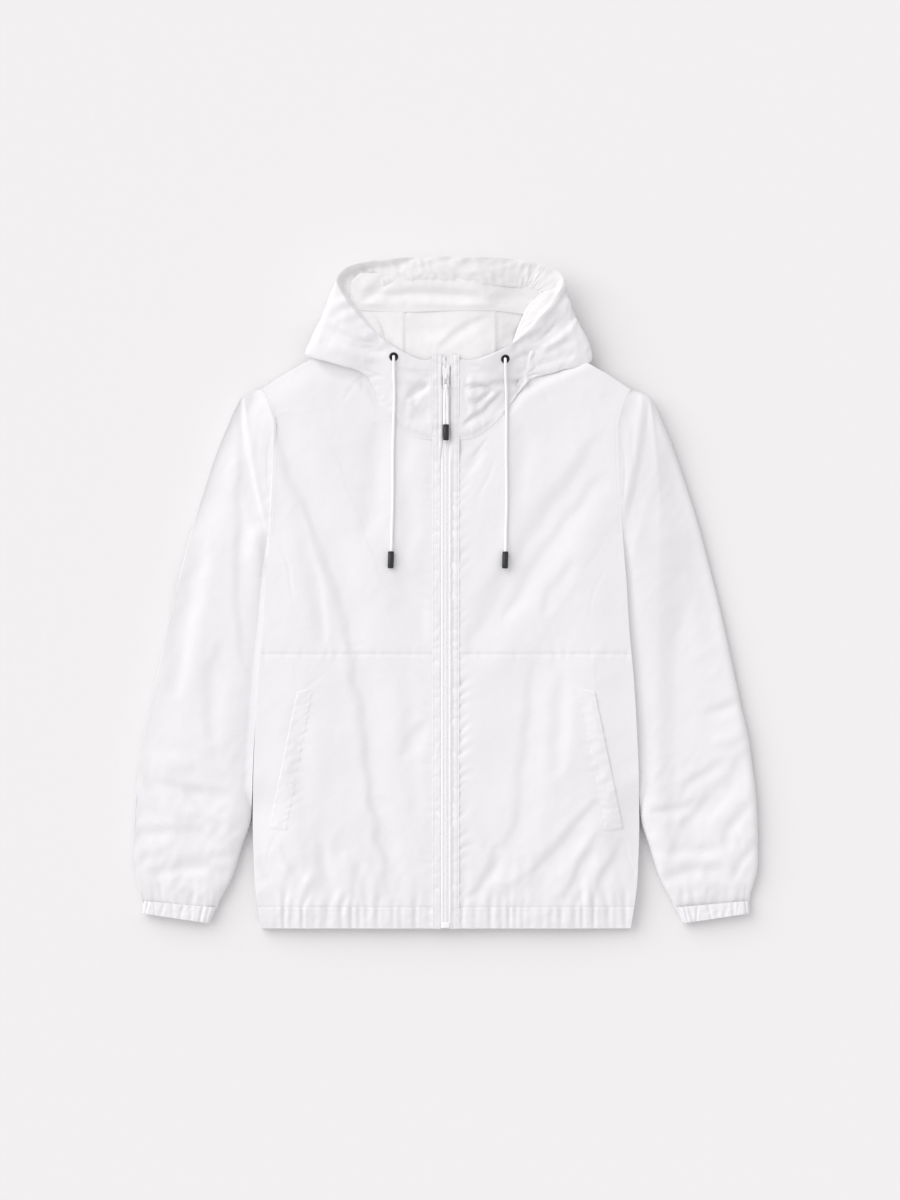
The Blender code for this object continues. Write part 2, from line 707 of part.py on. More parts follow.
def eyelet(side):
    """A ring pressed on the hood's cloth, square to it."""
    x, y = EYELETS[side]
    spot = outer_hood[np.hypot(outer_hood[:, 0] - x, outer_hood[:, 1] - y) < 7]
    plane = np.column_stack([spot[:, 0] - x, spot[:, 1] - y, np.ones(len(spot))])
    slope_x, slope_y, middle = np.linalg.lstsq(plane, spot[:, 2], rcond=None)[0]
    bulge = (spot[:, 2] - plane @ (slope_x, slope_y, middle)).max()
    normal = Vector((-slope_x, -slope_y, 1)).normalized()
    bpy.ops.mesh.primitive_torus_add(
        major_segments=20, minor_segments=8, major_radius=EYELET_MIDDLE * MM, minor_radius=EYELET_WIRE * MM
    )
    obj = bpy.context.object
    obj.data.transform(Matrix.Diagonal((1, 1, EYELET_HEIGHT / 2 / EYELET_WIRE, 1)))
    lift = WALL / 2 + LAY_GAP + EYELET_HEIGHT / 2 + bulge
    obj.location = (Vector((x, y, middle)) + normal * lift) * MM
    obj.rotation_euler = normal.to_track_quat("Z", "Y").to_euler()
    obj.data.shade_smooth()
    return finish(obj, f"eyelet_{side}", "black metal")


def crown_fold():
    """The hood's folded crown and lining, one rounded solid with a step where the top layer ends."""
    bpy.ops.mesh.primitive_uv_sphere_add(segments=20, ring_count=12, radius=1)
    obj = bpy.context.object
    mesh = obj.data
    mesh.transform(Matrix.Rotation(math.pi / 2, 4, "X"))
    unit = np.empty(len(mesh.vertices) * 3)
    mesh.vertices.foreach_get("co", unit)
    unit = unit.reshape(-1, 3)
    along = np.arcsin(unit[:, 1].clip(-1, 1)) / (math.pi / 2)
    first, last = CROWN[0][0], CROWN[-1][0]
    y = (first + last) / 2 + (last - first) / 2 * along
    thin = np.cos(along * math.pi / 2) ** 0.35
    ring = np.hypot(unit[:, 0], unit[:, 2]).clip(1e-9)
    across = unit[:, 0] / ring
    up = unit[:, 2] / ring
    flat_across = np.sign(across) * np.abs(across) ** 0.6
    flat_up = np.sign(up) * np.abs(up) ** 0.6
    top = from_table(CROWN, 2, y)
    middle = (top + CROWN_UNDERSIDE) / 2
    x = from_table(CROWN, 1, y) * flat_across * thin
    z = middle + (top - CROWN_UNDERSIDE) / 2 * flat_up * thin
    mesh.vertices.foreach_set("co", in_metres(x + HOOD_LEAN, y, z).ravel())
    mesh.shade_smooth()
    return finish(obj, "hood_crown_fold", "lining")


def zip_parts():
    tape_edge = ((-TAPE_HALF, ZIP_BOTTOM), (-TAPE_HALF, ZIP_TOP))
    tape_far = ((TAPE_HALF, ZIP_BOTTOM), (TAPE_HALF, ZIP_TOP))
    cloth("zip_tape", strip_on(zip_height, tape_edge, tape_far, -TAPE_DROP), 2, 24, wall=TRIM_WALL)
    half = CHAIN_WIDTH / 2
    chain_near = ((-half, ZIP_BOTTOM + 8), (-half, SLIDER_BOTTOM - 1))
    chain_far = ((half, ZIP_BOTTOM + 8), (half, SLIDER_BOTTOM - 1))
    lift = -TAPE_DROP + (TRIM_WALL + CHAIN_HEIGHT) / 2 + LAY_GAP
    form = strip_on(zip_height, chain_near, chain_far, lift)
    cloth("zip_chain", form, 2, 24, "white coat", CHAIN_HEIGHT)
    box_y = ZIP_BOTTOM + BOX_SIZE[1] / 2
    box_z = float(zip_height(0, box_y)) - TAPE_DROP + TRIM_WALL / 2 + LAY_GAP + BOX_SIZE[2] / 2 + 0.3
    box("zip_box", BOX_SIZE, (0, box_y, box_z), "white coat", 0.8)


def slider():
    """The slider on the chain with its bridge, an arch along the zip. Returns the hinge for the pull."""
    low = float(zip_height(0, SLIDER_BOTTOM))
    high = float(zip_height(0, SLIDER_TOP))
    slope = math.atan2(high - low, SLIDER_TOP - SLIDER_BOTTOM)
    base_z = (low + high) / 2 - TAPE_DROP + TRIM_WALL / 2 + 2 * LAY_GAP
    base = Matrix.Translation(Vector((0, (SLIDER_TOP + SLIDER_BOTTOM) / 2, base_z)) * MM)
    base = base @ Matrix.Rotation(slope, 4, "X")

    def placed(name, size, place, bevel=0.0):
        obj = box(name, size, (0, 0, 0), "white coat", bevel)
        obj.matrix_basis = base @ Matrix.Translation(Vector(place) * MM)
        return obj

    opening = BRIDGE_RISE - BRIDGE_BAR
    body_size = (SLIDER_WIDTH, SLIDER_TOP - SLIDER_BOTTOM, SLIDER_HEIGHT)
    body = placed("zip_slider", body_size, (0, 0, SLIDER_HEIGHT / 2), 1.2)
    arch_size = (BRIDGE_WIDTH, BRIDGE_LENGTH, BRIDGE_RISE + BRIDGE_ROOT)
    arch_middle = SLIDER_HEIGHT + (BRIDGE_RISE - BRIDGE_ROOT) / 2
    combine(body, placed("bridge", arch_size, (0, BRIDGE_PLACE, arch_middle)), "UNION")
    hole_size = (BRIDGE_WIDTH + 2, BRIDGE_LENGTH - 2 * BRIDGE_BAR, opening)
    hole_place = (0, BRIDGE_PLACE, SLIDER_HEIGHT + opening / 2)
    combine(body, placed("bridge_hole", hole_size, hole_place), "DIFFERENCE")
    hinge = bpy.data.objects.new("zip_pull", None)
    hinge.location = base @ (Vector(hole_place) * MM)
    hinge.rotation_euler = (slope, 0, 0)
    parts.objects.link(hinge)
    hinge.parent = ground
    return hinge


def pull(hinge):
    """The tab that hinges on the bridge, the doubled cord on it, and the cord's tip."""
    tab_size = (TAB_WIDTH, TAB_LENGTH, TAB_THICK)
    tab = box("pull_tab", tab_size, (0, (TAB_BAR - TAB_LENGTH) / 2, 0), "white coat", 0.3)
    slot_size = (TAB_HOLE[0], TAB_HOLE[1], TAB_THICK + 2)
    slot = box("tab_slot", slot_size, (0, -(TAB_BAR + TAB_HOLE[1]) / 2, 0), "white coat")
    tab.parent = hinge
    slot.parent = hinge
    combine(tab, slot, "DIFFERENCE")
    # The cord leaves the tab's end, bends down and lies along the chain as far as its tip.
    frame = Matrix.LocRotScale(hinge.location, hinge.rotation_euler, None)
    tab_end = frame @ Vector((0, (TAB_BAR / 2 - TAB_LENGTH - LAY_GAP) * MM, 0)) / MM
    lying = -TAPE_DROP + TRIM_WALL / 2 + CHAIN_HEIGHT + 2 * LAY_GAP + PULL_CORD_THICK / 2 + 0.5
    tip_z = float(zip_height(0, PULL_TIP_TOP)) + lying + (PULL_TIP[0] - PULL_CORD_THICK) / 2 + 0.8
    spread = (PULL_CORD_THICK + 0.3) / 2
    bend_y = tab_end.y - spread - PULL_CORD_THICK / 2
    y = np.linspace(bend_y - 4, PULL_TIP_TOP + LAY_GAP, 7)
    z = zip_height(0, y) + lying
    z = z + (tab_end.z - z) * (1 - eased((tab_end.y - y) / 20))
    z = z + (tip_z - z) * eased((PULL_TIP_TOP + 22 - y) / 20)
    strand = np.column_stack([np.full_like(y, spread), y, z])
    turn = np.linspace(0, math.pi, 6)
    bend = in_metres(spread * np.cos(turn), bend_y + spread * np.sin(turn), tab_end.z) / MM
    path = np.concatenate([strand[::-1], bend, strand * (-1, 1, 1)])
    rod("pull_cord", path * MM, PULL_CORD_THICK, "white cord")
    capsule("pull_tip", *PULL_TIP, Vector((0, PULL_TIP_TOP, tip_z)) * MM, (0, -1, 0), "black rubber")


for leftover in list(bpy.data.objects):
    bpy.data.objects.remove(leftover)
parts = bpy.data.collections.new("windbreaker")
cutters = bpy.data.collections.new("cutters")
bpy.context.scene.collection.children.link(parts)
bpy.context.scene.collection.children.link(cutters)
cutters.hide_render = True
ground = bpy.data.objects.new("ground", None)
ground.location = (0, -OUTLINE_MIDDLE * MM, 0)
parts.objects.link(ground)
outer_hood = hood_samples()

SIDES = {"left": -1.0, "right": 1.0}

cloth("back", back_form, 20, 13)
cloth("hem_back", hem_back_form, 14, 1)
for hand, side in SIDES.items():
    cloth(f"front_upper_{hand}", front_upper(side), 12, 12)
    lower = front_strip(side, HEM_TOP + SEAM_GAP / 2, CROSS_SEAM - SEAM_GAP / 2)
    cloth(f"front_lower_{hand}", lower, 12, 9)
    hem = front_strip(side, HEM_BOTTOM, HEM_TOP - SEAM_GAP / 2, HEM_GATHERS)
    cloth(f"hem_{hand}", hem, 3 * HEM_GATHERS, 1)
    cloth(f"sleeve_{hand}", sleeve_form(side), 16, 13, tube=True)
    cloth(f"cuff_{hand}", cuff_form(side), 4 * CUFF_GATHERS, 1, tube=True)
    inner = ((side * ZIP_EDGE, HEM_BOTTOM), (side * ZIP_EDGE, ZIP_TOP))
    outer = ((side * PLACKET_OUTER, HEM_BOTTOM), (side * PLACKET_OUTER, ZIP_TOP))
    placket = strip_on(placket_height, inner, outer, ON_PANEL + 0.2)
    cloth(f"placket_{hand}", placket, 1, 26, wall=TRIM_WALL)
    opening = tuple((side * x, y) for x, y in WELT_OPENING)
    stitched = tuple((side * x, y) for x, y in WELT_INNER)
    welt = strip_on(front_height, stitched, opening, ON_PANEL + 0.2)
    cloth(f"pocket_welt_{hand}", welt, 2, 9, wall=TRIM_WALL)
    cloth(f"hood_side_{hand}", hood_side(side), 19, 10)
    eyelet(hand)
    drawcord(hand)
cloth("hood_centre", hood_centre, 6, 10)
cloth("hood_casing", casing_form, 34, 2, "lining")
crown_fold()
zip_parts()
pull(slider())
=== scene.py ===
"""A white hooded windbreaker, zipped up and laid flat on its back with the hood spread above the collar.

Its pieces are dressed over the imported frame. Tables and named sizes are in millimetres: X runs across,
Y up the body from the middle of the outline, and Z off the floor. in_metres() turns them into metres.
Left and right are the viewer's.
"""

import math

import bmesh
import bpy
import numpy as np
from mathutils import Matrix, Vector
from mathutils.bvhtree import BVHTree


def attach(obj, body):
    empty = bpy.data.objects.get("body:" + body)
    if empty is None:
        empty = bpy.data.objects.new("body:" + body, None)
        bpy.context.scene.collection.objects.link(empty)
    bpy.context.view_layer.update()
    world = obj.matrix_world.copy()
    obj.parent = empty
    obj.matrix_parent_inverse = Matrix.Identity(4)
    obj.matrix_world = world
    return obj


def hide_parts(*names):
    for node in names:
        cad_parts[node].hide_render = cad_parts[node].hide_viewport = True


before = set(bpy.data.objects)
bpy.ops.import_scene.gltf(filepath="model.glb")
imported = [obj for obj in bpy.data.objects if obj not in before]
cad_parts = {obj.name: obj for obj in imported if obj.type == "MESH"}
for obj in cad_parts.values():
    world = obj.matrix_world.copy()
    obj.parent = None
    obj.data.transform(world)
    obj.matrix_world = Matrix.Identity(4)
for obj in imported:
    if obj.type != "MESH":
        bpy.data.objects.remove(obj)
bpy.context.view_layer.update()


# The table top, the light and the camera
# A pale even surface in a soft white room, with one broad lamp from the top left.
# The camera looks straight down through a long lens.

MM = 0.001
FLOOR_SIZE = 16.0
VIEW_HEIGHT = 1.44
VIEW_CENTRE = (0.0048, -0.00785)
CAMERA_HEIGHT = 5.0
JACKET_MIDDLE = 0.014
SENSOR = 36.0
ROOM_LIGHT = 0.80
LAMP_POWER = 1.80
LAMP_WIDTH = 60.0
LAMP_DIRECTION = (0.68, -0.52, -0.54)
FLOOR_COLOUR = (0.807, 0.792, 0.799, 1.0)

scene = bpy.context.scene
scene.view_settings.view_transform = "Standard"
bpy.ops.object.select_all(action="DESELECT")

bpy.ops.mesh.primitive_plane_add(size=FLOOR_SIZE)
floor = bpy.context.object
floor.name = "table_top"
paint = bpy.data.materials.new("pale_table_top")
paint.use_nodes = True
paint.node_tree.nodes["Principled BSDF"].inputs["Base Color"].default_value = FLOOR_COLOUR
paint.node_tree.nodes["Principled BSDF"].inputs["Roughness"].default_value = 0.9
paint.node_tree.nodes["Principled BSDF"].inputs["Specular IOR Level"].default_value = 0.1
floor.data.materials.append(paint)

room = bpy.data.worlds.new("white_room")
room.use_nodes = True
room.node_tree.nodes["Background"].inputs["Color"].default_value = (1.0, 1.0, 1.0, 1.0)
room.node_tree.nodes["Background"].inputs["Strength"].default_value = ROOM_LIGHT
scene.world = room

bpy.ops.object.light_add(type="SUN")
lamp = bpy.context.object
lamp.name = "broad_lamp"
lamp.data.energy = LAMP_POWER
lamp.data.angle = math.radians(LAMP_WIDTH)
lamp.rotation_euler = Vector(LAMP_DIRECTION).to_track_quat("-Z", "Y").to_euler()

bpy.ops.object.camera_add(location=(*VIEW_CENTRE, CAMERA_HEIGHT))
camera = bpy.context.object
camera.data.sensor_width = SENSOR
camera.data.lens = SENSOR * (CAMERA_HEIGHT - JACKET_MIDDLE) / VIEW_HEIGHT
camera.data.clip_end = 100.0
scene.camera = camera


# The fronts
# Each front is plain-woven nylon in two pieces, joined by a seam that crosses it below the chest.
# It runs from the zip to the side seam, and lies over the air that is left in the body.

CLOTH = 0.6
OUTLINE_MIDDLE = 1.25
HEM_BOTTOM = -401.4
HEM_TOP = -375.0
CROSS_SEAM = -71.4
ARM_TOP = 246.6
NECK_POINT = (95.0, 305.0)
NECK_SHARE = 5 / 12
ZIP_EDGE = 5.6
PLACKET_OUTER = 15.6
SEAM_GAP = 0.3
SIDE_ROUND = 58.0
SIDE_FLUSH = 0.84
LOW_FLUSH = 0.42
LOW_SIDE_START = -215.0
LOW_SIDE_END = -320.0
LOW_SIDE_RUN = 50.0
EDGE_START = 0.12
ARM_BOTTOM = 64.0
ABOVE_FOOT = 402.0
ZIP_LONG = 700.0
EDGE_TURN = 0.13
SHOULDER_ROUND = 30.0
SHOULDER_FLUSH = 0.92
SHOULDER_EASE = 0.4
SHOULDER_HEIGHT = 6.0
SEAM_ALLOWANCE = 5.0
FRONT_COLUMNS = 96
SIDES = {"left": -1.0, "right": 1.0}
NYLON = (0.802, 0.786, 0.810)
NYLON_SHADE = (0.780, 0.764, 0.788)
THREAD_PITCH = 0.00045
CUT_EDGE = 55.0

# y, half width, height of the front's edge, height of the back's edge
SIDE = (
    (-401.4, 222.0, 7.8, 6.4),
    (-375.0, 226.2, 8.0, 6.7),
    (-347.4, 229.6, 8.0, 7.2),
    (-317.4, 231.2, 8.0, 7.2),
    (-271.8, 232.3, 8.0, 7.2),
    (-210.6, 231.2, 8.0, 7.2),
    (-165.0, 229.2, 8.0, 7.2),
    (-103.8, 225.6, 8.0, 7.2),
    (-42.6, 220.0, 8.0, 7.0),
    (17.4, 216.4, 8.2, 6.4),
    (65.4, 212.4, 9.0, 3.0),
    (105.0, 210.0, 15.5, 0.6),
    (163.8, 207.6, 20.0, 0.6),
    (201.0, 206.6, 19.5, 0.6),
    (232.0, 214.5, 13.0, 1.6),
    (246.6, 222.0, 6.6, 5.0),
)
# y, height of the front
FRONT = (
    (-401.4, 15.4),
    (-375.0, 18.8),
    (-340.0, 22.2),
    (-250.0, 26.0),
    (-71.4, 27.5),
    (60.0, 29.0),
    (185.0, 28.0),
    (305.0, 27.0),
)
# x, y
SHOULDER = ((0.0, 318.0), (95.0, 305.0), (130.0, 293.5), (166.0, 281.0), (194.0, 265.0), (222.0, 246.6))
NECKLINE = ((5.6, 185.5), (30.0, 188.0), (55.0, 203.0), (75.0, 226.0), (88.0, 258.0), (95.0, 305.0))

# The folds of the fronts: half width, depth, lean to one bank, then the x and y of the points along it.
# A depth under 0 is a ridge.
FRONT_FOLDS = (
    (17, 3.4, -0.8, (-206, 214), (-190, 165), (-173, 128), (-152, 70), (-132, 22), (-116, -30), (-110, -66)),
    (15, 2.7, -0.8, (-112, -58), (-104, -104), (-95, -160), (-88, -205), (-84, -262)),
    (13, 2.4, -0.7, (-88, -240), (-78, -285), (-66, -322), (-66, -362)),
    (9, 1.6, 0.5, (-181, 108), (-160, 40), (-150, -10), (-146, -60)),
    (16, 1.7, 0.0, (-86, 205), (-82, 160), (-88, 110), (-96, 70)),
    (12, 1.3, 0.0, (-44, 196), (-50, 150), (-46, 90), (-52, 30)),
    (16, 1.4, 0.2, (-60, 20), (-40, -10), (-26, -60)),
    (23, 2.9, -0.6, (184, 186), (168, 156), (136, 112), (106, 68), (82, 28), (48, -31), (24, -78)),
    (13, 2.0, -0.4, (186, 140), (172, 118), (140, 74), (101, 18), (70, -30)),
    (8, 1.2, -0.4, (150, 40), (128, 6), (116, -22)),
    (15, 1.6, 0.0, (96, 196), (88, 150), (80, 112)),
    (9, 1.5, 0.4, (46, 176), (33, 158), (22, 140)),
    (14, 1.7, -0.7, (108, -82), (104, -122), (97, -190), (90, -256), (70, -308), (50, -346)),
    (11, 2.5, -0.7, (182, -246), (158, -276), (128, -312), (112, -330), (104, -362)),
    (10, 2.1, -0.6, (186, -288), (166, -318), (152, -344), (144, -370)),
    (9, 1.9, -0.6, (213, -292), (200, -322), (186, -352), (176, -372)),
    (8, 2.2, -0.4, (60, -300), (52, -330), (42, -352), (24, -366)),
    (11, 2.0, 0.0, (140, -96), (136, -150), (132, -214)),
    (10, 2.6, -0.5, (-226, -318), (-210, -338), (-190, -356), (-168, -372)),
    (8, 1.8, -0.4, (-196, -300), (-184, -326), (-170, -344)),
    (10, 1.9, 0.2, (-150, -300), (-144, -334), (-137, -372)),
    (10, -1.6, 0.2, (-120, -310), (-112, -340), (-106, -372)),
    (12, 0.8, 0.0, (-46, -88), (-40, -150), (-44, -220), (-34, -262)),
    (9, 1.6, -0.3, (-22, -150), (-36, -170), (-52, -196)),
    (14, 1.5, 0.0, (-178, -130), (-176, -190), (-170, -250)),
    (9, 3.6, -0.3, (72, 216), (92, 246), (118, 262), (150, 276), (178, 282)),
    (8, 2.6, 0.2, (-78, 228), (-96, 252), (-120, 264), (-150, 278)),
)
# Short crisp creases, in the same columns
FRONT_CREASES = (
    (3.2, 1.4, 0.6, (31, 165), (38, 175), (46, 187)),
    (3.0, 1.2, 0.4, (12, 176), (15, 184), (20, 194)),
    (3.0, 1.2, 0.5, (-96, 270), (-99, 256), (-100, 240)),
    (3.0, 0.8, -0.5, (-100, 262), (-112, 244), (-122, 232)),
    (3.0, 0.7, 0.5, (108, 262), (118, 244), (124, 226)),
    (2.8, 1.0, 0.5, (213, -288), (219, -312), (226, -338)),
    (2.6, 0.7, -0.5, (-204, -284), (-212, -308), (-216, -326)),
    (2.6, 0.6, 0.3, (-118, -120), (-110, -132), (-98, -138)),
    (2.8, 0.7, 0.4, (-144, -96), (-160, -108), (-170, -114)),
    (2.8, 0.6, -0.4, (-200, 60), (-186, 20), (-182, -16)),
    (2.6, 0.5, 0.4, (190, 30), (178, 0), (174, -30)),
    (3.0, 0.8, 0.4, (120, -320), (96, -340), (84, -362)),
    (2.6, 0.6, -0.4, (-60, -330), (-48, -348), (-44, -366)),
    (2.8, 0.7, -0.4, (60, 160), (44, 128), (40, 100)),
    (2.4, 0.5, 0.4, (-60, 176), (-56, 140), (-58, 112)),
)


def column(table, index):
    return np.array([row[index] for row in table], float)


def smooth(keys, values, at):
    """A smooth curve through the values at the keys that never overshoots them."""
    at = np.clip(np.asarray(at, float), keys[0], keys[-1])
    rises = np.diff(values) / np.diff(keys)
    before, after = rises[:-1], rises[1:]
    both = np.where(before * after > 0, before + after, 1.0)
    inner = np.where(before * after > 0, 2 * before * after / both, 0.0)
    slopes = np.concatenate([rises[:1], inner, rises[-1:]])
    i = np.clip(np.searchsorted(keys, at, side="right") - 1, 0, len(keys) - 2)
    step = keys[i + 1] - keys[i]
    t = (at - keys[i]) / step
    return (
        values[i] * (1 + 2 * t) * (1 - t) ** 2
        + values[i + 1] * t * t * (3 - 2 * t)
        + step * t * (1 - t) * (slopes[i] * (1 - t) - slopes[i + 1] * t)
    )


def from_table(table, index, at):
    return smooth(column(table, 0), column(table, index), at)


def rounded(t):
    """Rises from 0 to 1 as a quarter circle, upright at 0 and level at 1."""
    return np.sqrt(np.maximum(0.0, 1 - (1 - np.clip(t, 0, 1)) ** 2))


def squarer(t, power):
    """Like rounded(), which has a power of 2, with a tighter turn at 0 the higher its power."""
    return (1 - (1 - np.clip(t, 0, 1)) ** power) ** (1 / power)


def eased(t):
    t = np.clip(t, 0, 1)
    return t * t * (3 - 2 * t)


def bell(t):
    return np.exp(-t * t)


def in_metres(x, y, z):
    return np.stack(np.broadcast_arrays(x, y - OUTLINE_MIDDLE, z), -1) * MM


def flowing(knots, per_knot=6):
    """Points on a smooth curve through the knots."""
    knots = np.array(knots, float)
    steps = np.linalg.norm(np.diff(knots, axis=0), axis=1)
    places = np.concatenate([[0], np.cumsum(steps)])
    at = np.linspace(0, places[-1], per_knot * len(knots) + 1)
    return np.stack([smooth(places, knots[:, i], at) for i in range(knots.shape[1])], -1)


def beside(path, x, y):
    """How far along the path each x, y falls, how far off it to the left, and the path's length."""
    steps = np.hypot(*np.diff(path, axis=0).T)
    starts = np.concatenate([[0], np.cumsum(steps)])
    nearest = np.full(x.shape, np.inf)
    place = np.zeros(x.shape)
    off = np.zeros(x.shape)
    for (x0, y0), (x1, y1), start, step in zip(path[:-1], path[1:], starts, steps):
        ux, uy = (x1 - x0) / step, (y1 - y0) / step
        run = ((x - x0) * ux + (y - y0) * uy).clip(0, step)
        dx, dy = x - x0 - run * ux, y - y0 - run * uy
        far = np.hypot(dx, dy)
        nearer = far < nearest
        nearest = np.where(nearer, far, nearest)
        place = np.where(nearer, start + run, place)
        off = np.where(nearer, np.copysign(far, ux * dy - uy * dx), off)
    return place, off, starts[-1]


def folded(table, x, y, crisp=False):
    """How far the table's folds raise the cloth at x, y. Each fades out at its ends and leans to one bank."""
    rise = np.zeros(x.shape)
    for half, depth, lean, *knots in table:
        path = flowing(knots)
        reach = 3 * half
        low, high = path.min(0) - reach, path.max(0) + reach
        near = (x > low[0]) & (x < high[0]) & (y > low[1]) & (y < high[1])
        if not near.any():
            continue
        place, off, long = beside(path, x[near], y[near])
        share = place / long
        taper = np.sqrt(np.clip(4 * share * (1 - share), 0.0, 1.0))
        width = half * (0.5 + 0.5 * taper)
        s = off / width
        s = s * np.where(s * lean > 0, 1 + 0.9 * abs(lean), 1 - 0.55 * abs(lean))
        if crisp:
            shape = np.exp(-1.9 * (np.sqrt(s * s + 0.06) - 0.245)) - 0.35 * bell(s / 1.8)
        else:
            shape = (1 - 0.5 * s * s) * np.exp(-0.6 * s * s)
        rise[near] -= depth * (0.15 + 0.85 * taper) * shape * (off * off < reach * reach)
    return rise


def drifting(x, y, size, seed):
    """A soft uneven field from -1 to 1 or so, with hills and hollows about that size."""
    random = np.random.default_rng(seed)
    total = np.zeros(np.broadcast(x, y).shape)
    waves = 11
    for _ in range(waves):
        turn = random.uniform(0, math.pi)
        wave = size * random.uniform(1.2, 3.2)
        phase = random.uniform(0, 2 * math.pi)
        total += np.cos(2 * math.pi * (x * math.cos(turn) + y * math.sin(turn)) / wave + phase)
    return total / math.sqrt(waves)


def crumpled(x, y, size, seed):
    """Flat facets that meet in soft ridges, as in light nylon that was once folded small."""
    first = drifting(x, y, size, seed)
    second = drifting(x, y, size * 0.62, seed + 1)
    return 0.6 - np.sqrt(first * first + 0.03) + 0.45 * (0.6 - np.sqrt(second * second + 0.03))


def tucks(place, off, long, spacing, reach, depth, seed, slant=0.0):
    """Short tucks that a row of stitches draws up. They cross it at uneven places and fade away from it."""
    random = np.random.default_rng(seed)
    rise = np.zeros(place.shape)
    near = np.abs(off) < 3 * reach
    along, away = place[near], off[near]
    total = np.zeros(along.shape)
    at = random.uniform(0, spacing)
    while at < long:
        size = random.uniform(0.45, 1.5)
        lean = slant + random.normal(0, 0.22)
        half = spacing * random.uniform(0.16, 0.3)
        s = (along - at - lean * away) / (half * (1 + 0.6 * np.abs(away) / reach))
        total -= size * (1 - 0.5 * s * s) * np.exp(-0.6 * s * s) * bell(away / (reach * size))
        at += spacing * random.uniform(0.5, 1.6)
    rise[near] = depth * total
    return rise


def half_width(y):
    return from_table(SIDE, 1, y) - 0.5


def shoulder_distance(x, y):
    return 0.9 * (np.interp(np.abs(x), column(SHOULDER, 0), column(SHOULDER, 1)) - y) - SHOULDER_EASE


def front_base(x, y):
    """The front's height with no creases, and how far it lies from its edges, from 0 to 1."""
    edge = from_table(SIDE, 2, y)
    full = from_table(FRONT, 1, y)
    inward = half_width(y) - np.abs(x)
    regained = 1 - 0.5 * eased((LOW_SIDE_END - y) / LOW_SIDE_RUN)
    flush = SIDE_FLUSH + (LOW_FLUSH - SIDE_FLUSH) * eased((LOW_SIDE_START - y) / LOW_SIDE_RUN) * regained
    hangs = (inward < EDGE_TURN / 2) & (y < ARM_BOTTOM)
    risen = eased(EDGE_START + (1 - EDGE_START) * inward / SIDE_ROUND)
    side = np.where(hangs, 0.0, flush + (1 - flush) * risen)
    down = shoulder_distance(x, y)
    top = SHOULDER_FLUSH + (1 - SHOULDER_FLUSH) * eased(EDGE_START + (1 - EDGE_START) * down / SHOULDER_ROUND)
    top = np.where(down < EDGE_TURN, 0.0, top)
    z = SHOULDER_HEIGHT + (edge + (full - edge) * side - SHOULDER_HEIGHT) * top
    return z, side * top


def gathers(x, y, hand):
    """The folds that the hem's elastic draws up. They run on above its seam, each as far as it is deep."""
    random = np.random.default_rng(71 if hand < 0 else 72)
    off = np.abs(y - HEM_TOP)
    rise = np.zeros(np.broadcast(x, y).shape)
    at = PLACKET_OUTER + 4
    while at < 216:
        size = random.uniform(0.3, 1.3)
        half = random.uniform(2.6, 4.6)
        lean = random.normal(0, 0.25)
        up = np.maximum(y - HEM_TOP, 0)
        reach = 12 + 26 * size * random.uniform(0.5, 1.2)
        s = (hand * x - at - lean * up) / (half * (1 + 0.9 * up / reach))
        rise -= 1.5 * size * (1 - 0.5 * s * s) * np.exp(-0.6 * s * s) * bell(up / reach)
        at += random.uniform(7, 19)
    return rise * (0.55 + 0.45 * bell((off - 6) / 12))


WELT_OPENING = ((178.0, -114.0), (213.0, -283.0))
WELT_INNER = ((156.5, -109.0), (190.0, -287.0))


def front_height(x, y):
    """The height of the front's cloth, with its folds, creases and tucks."""
    x, y = np.broadcast_arrays(np.asarray(x, float), np.asarray(y, float))
    z, inside = front_base(x, y)
    hand = np.sign(x)
    bend_x = x + 2.2 * drifting(x, y, 34, 5)
    bend_y = y + 2.2 * drifting(x, y, 34, 6)
    beyond = np.abs(x) - PLACKET_OUTER
    off_placket = eased(beyond / 12)
    rise = folded(FRONT_FOLDS, bend_x, bend_y) + folded(FRONT_CREASES, bend_x, bend_y, crisp=True)
    low = eased((-250 - y) / 90)
    rise += (0.16 + 0.5 * low) * crumpled(x, y, 26, 11)
    rise += 0.55 * drifting(x, y, 62, 14)
    rise *= off_placket
    stitched = eased((beyond + 1.5) / 2)
    for side in (-1.0, 1.0):
        this = hand == side
        rise[this] += gathers(x[this], y[this], side)
        seed = 21 if side < 0 else 31
        depth = 0.42 if side < 0 else 0.6
        low_depth = depth * (1 + 0.7 * eased((-60 - y[this]) / 60))
        drawn = tucks(y[this] + ABOVE_FOOT, beyond[this] - 0.5, ZIP_LONG + 20, 11.5, 8.5, 1.0, seed, 0.55)
        rise[this] += drawn * low_depth * stitched[this]
    rise += tucks(np.abs(x), y - CROSS_SEAM, 226, 13, 7.5, 0.42, 41)
    rise -= 0.16 * bell((y - CROSS_SEAM) / 2.2) * eased(beyond / 3)
    rise += tucks(*beside(np.array(WELT_INNER), np.abs(x), y), 12, 7, 0.45, 51, 0.4)
    return z + rise * rounded(inside * 1.15) * (0.35 + 0.65 * inside)


def along_line(points, t):
    """Points at the fractions t of a polyline's length."""
    points = np.array(points, float)
    lengths = np.concatenate([[0], np.cumsum(np.hypot(*np.diff(points, axis=0).T))])
    lengths /= lengths[-1]
    return np.stack([np.interp(t, lengths, points[:, 0]), np.interp(t, lengths, points[:, 1])], -1)


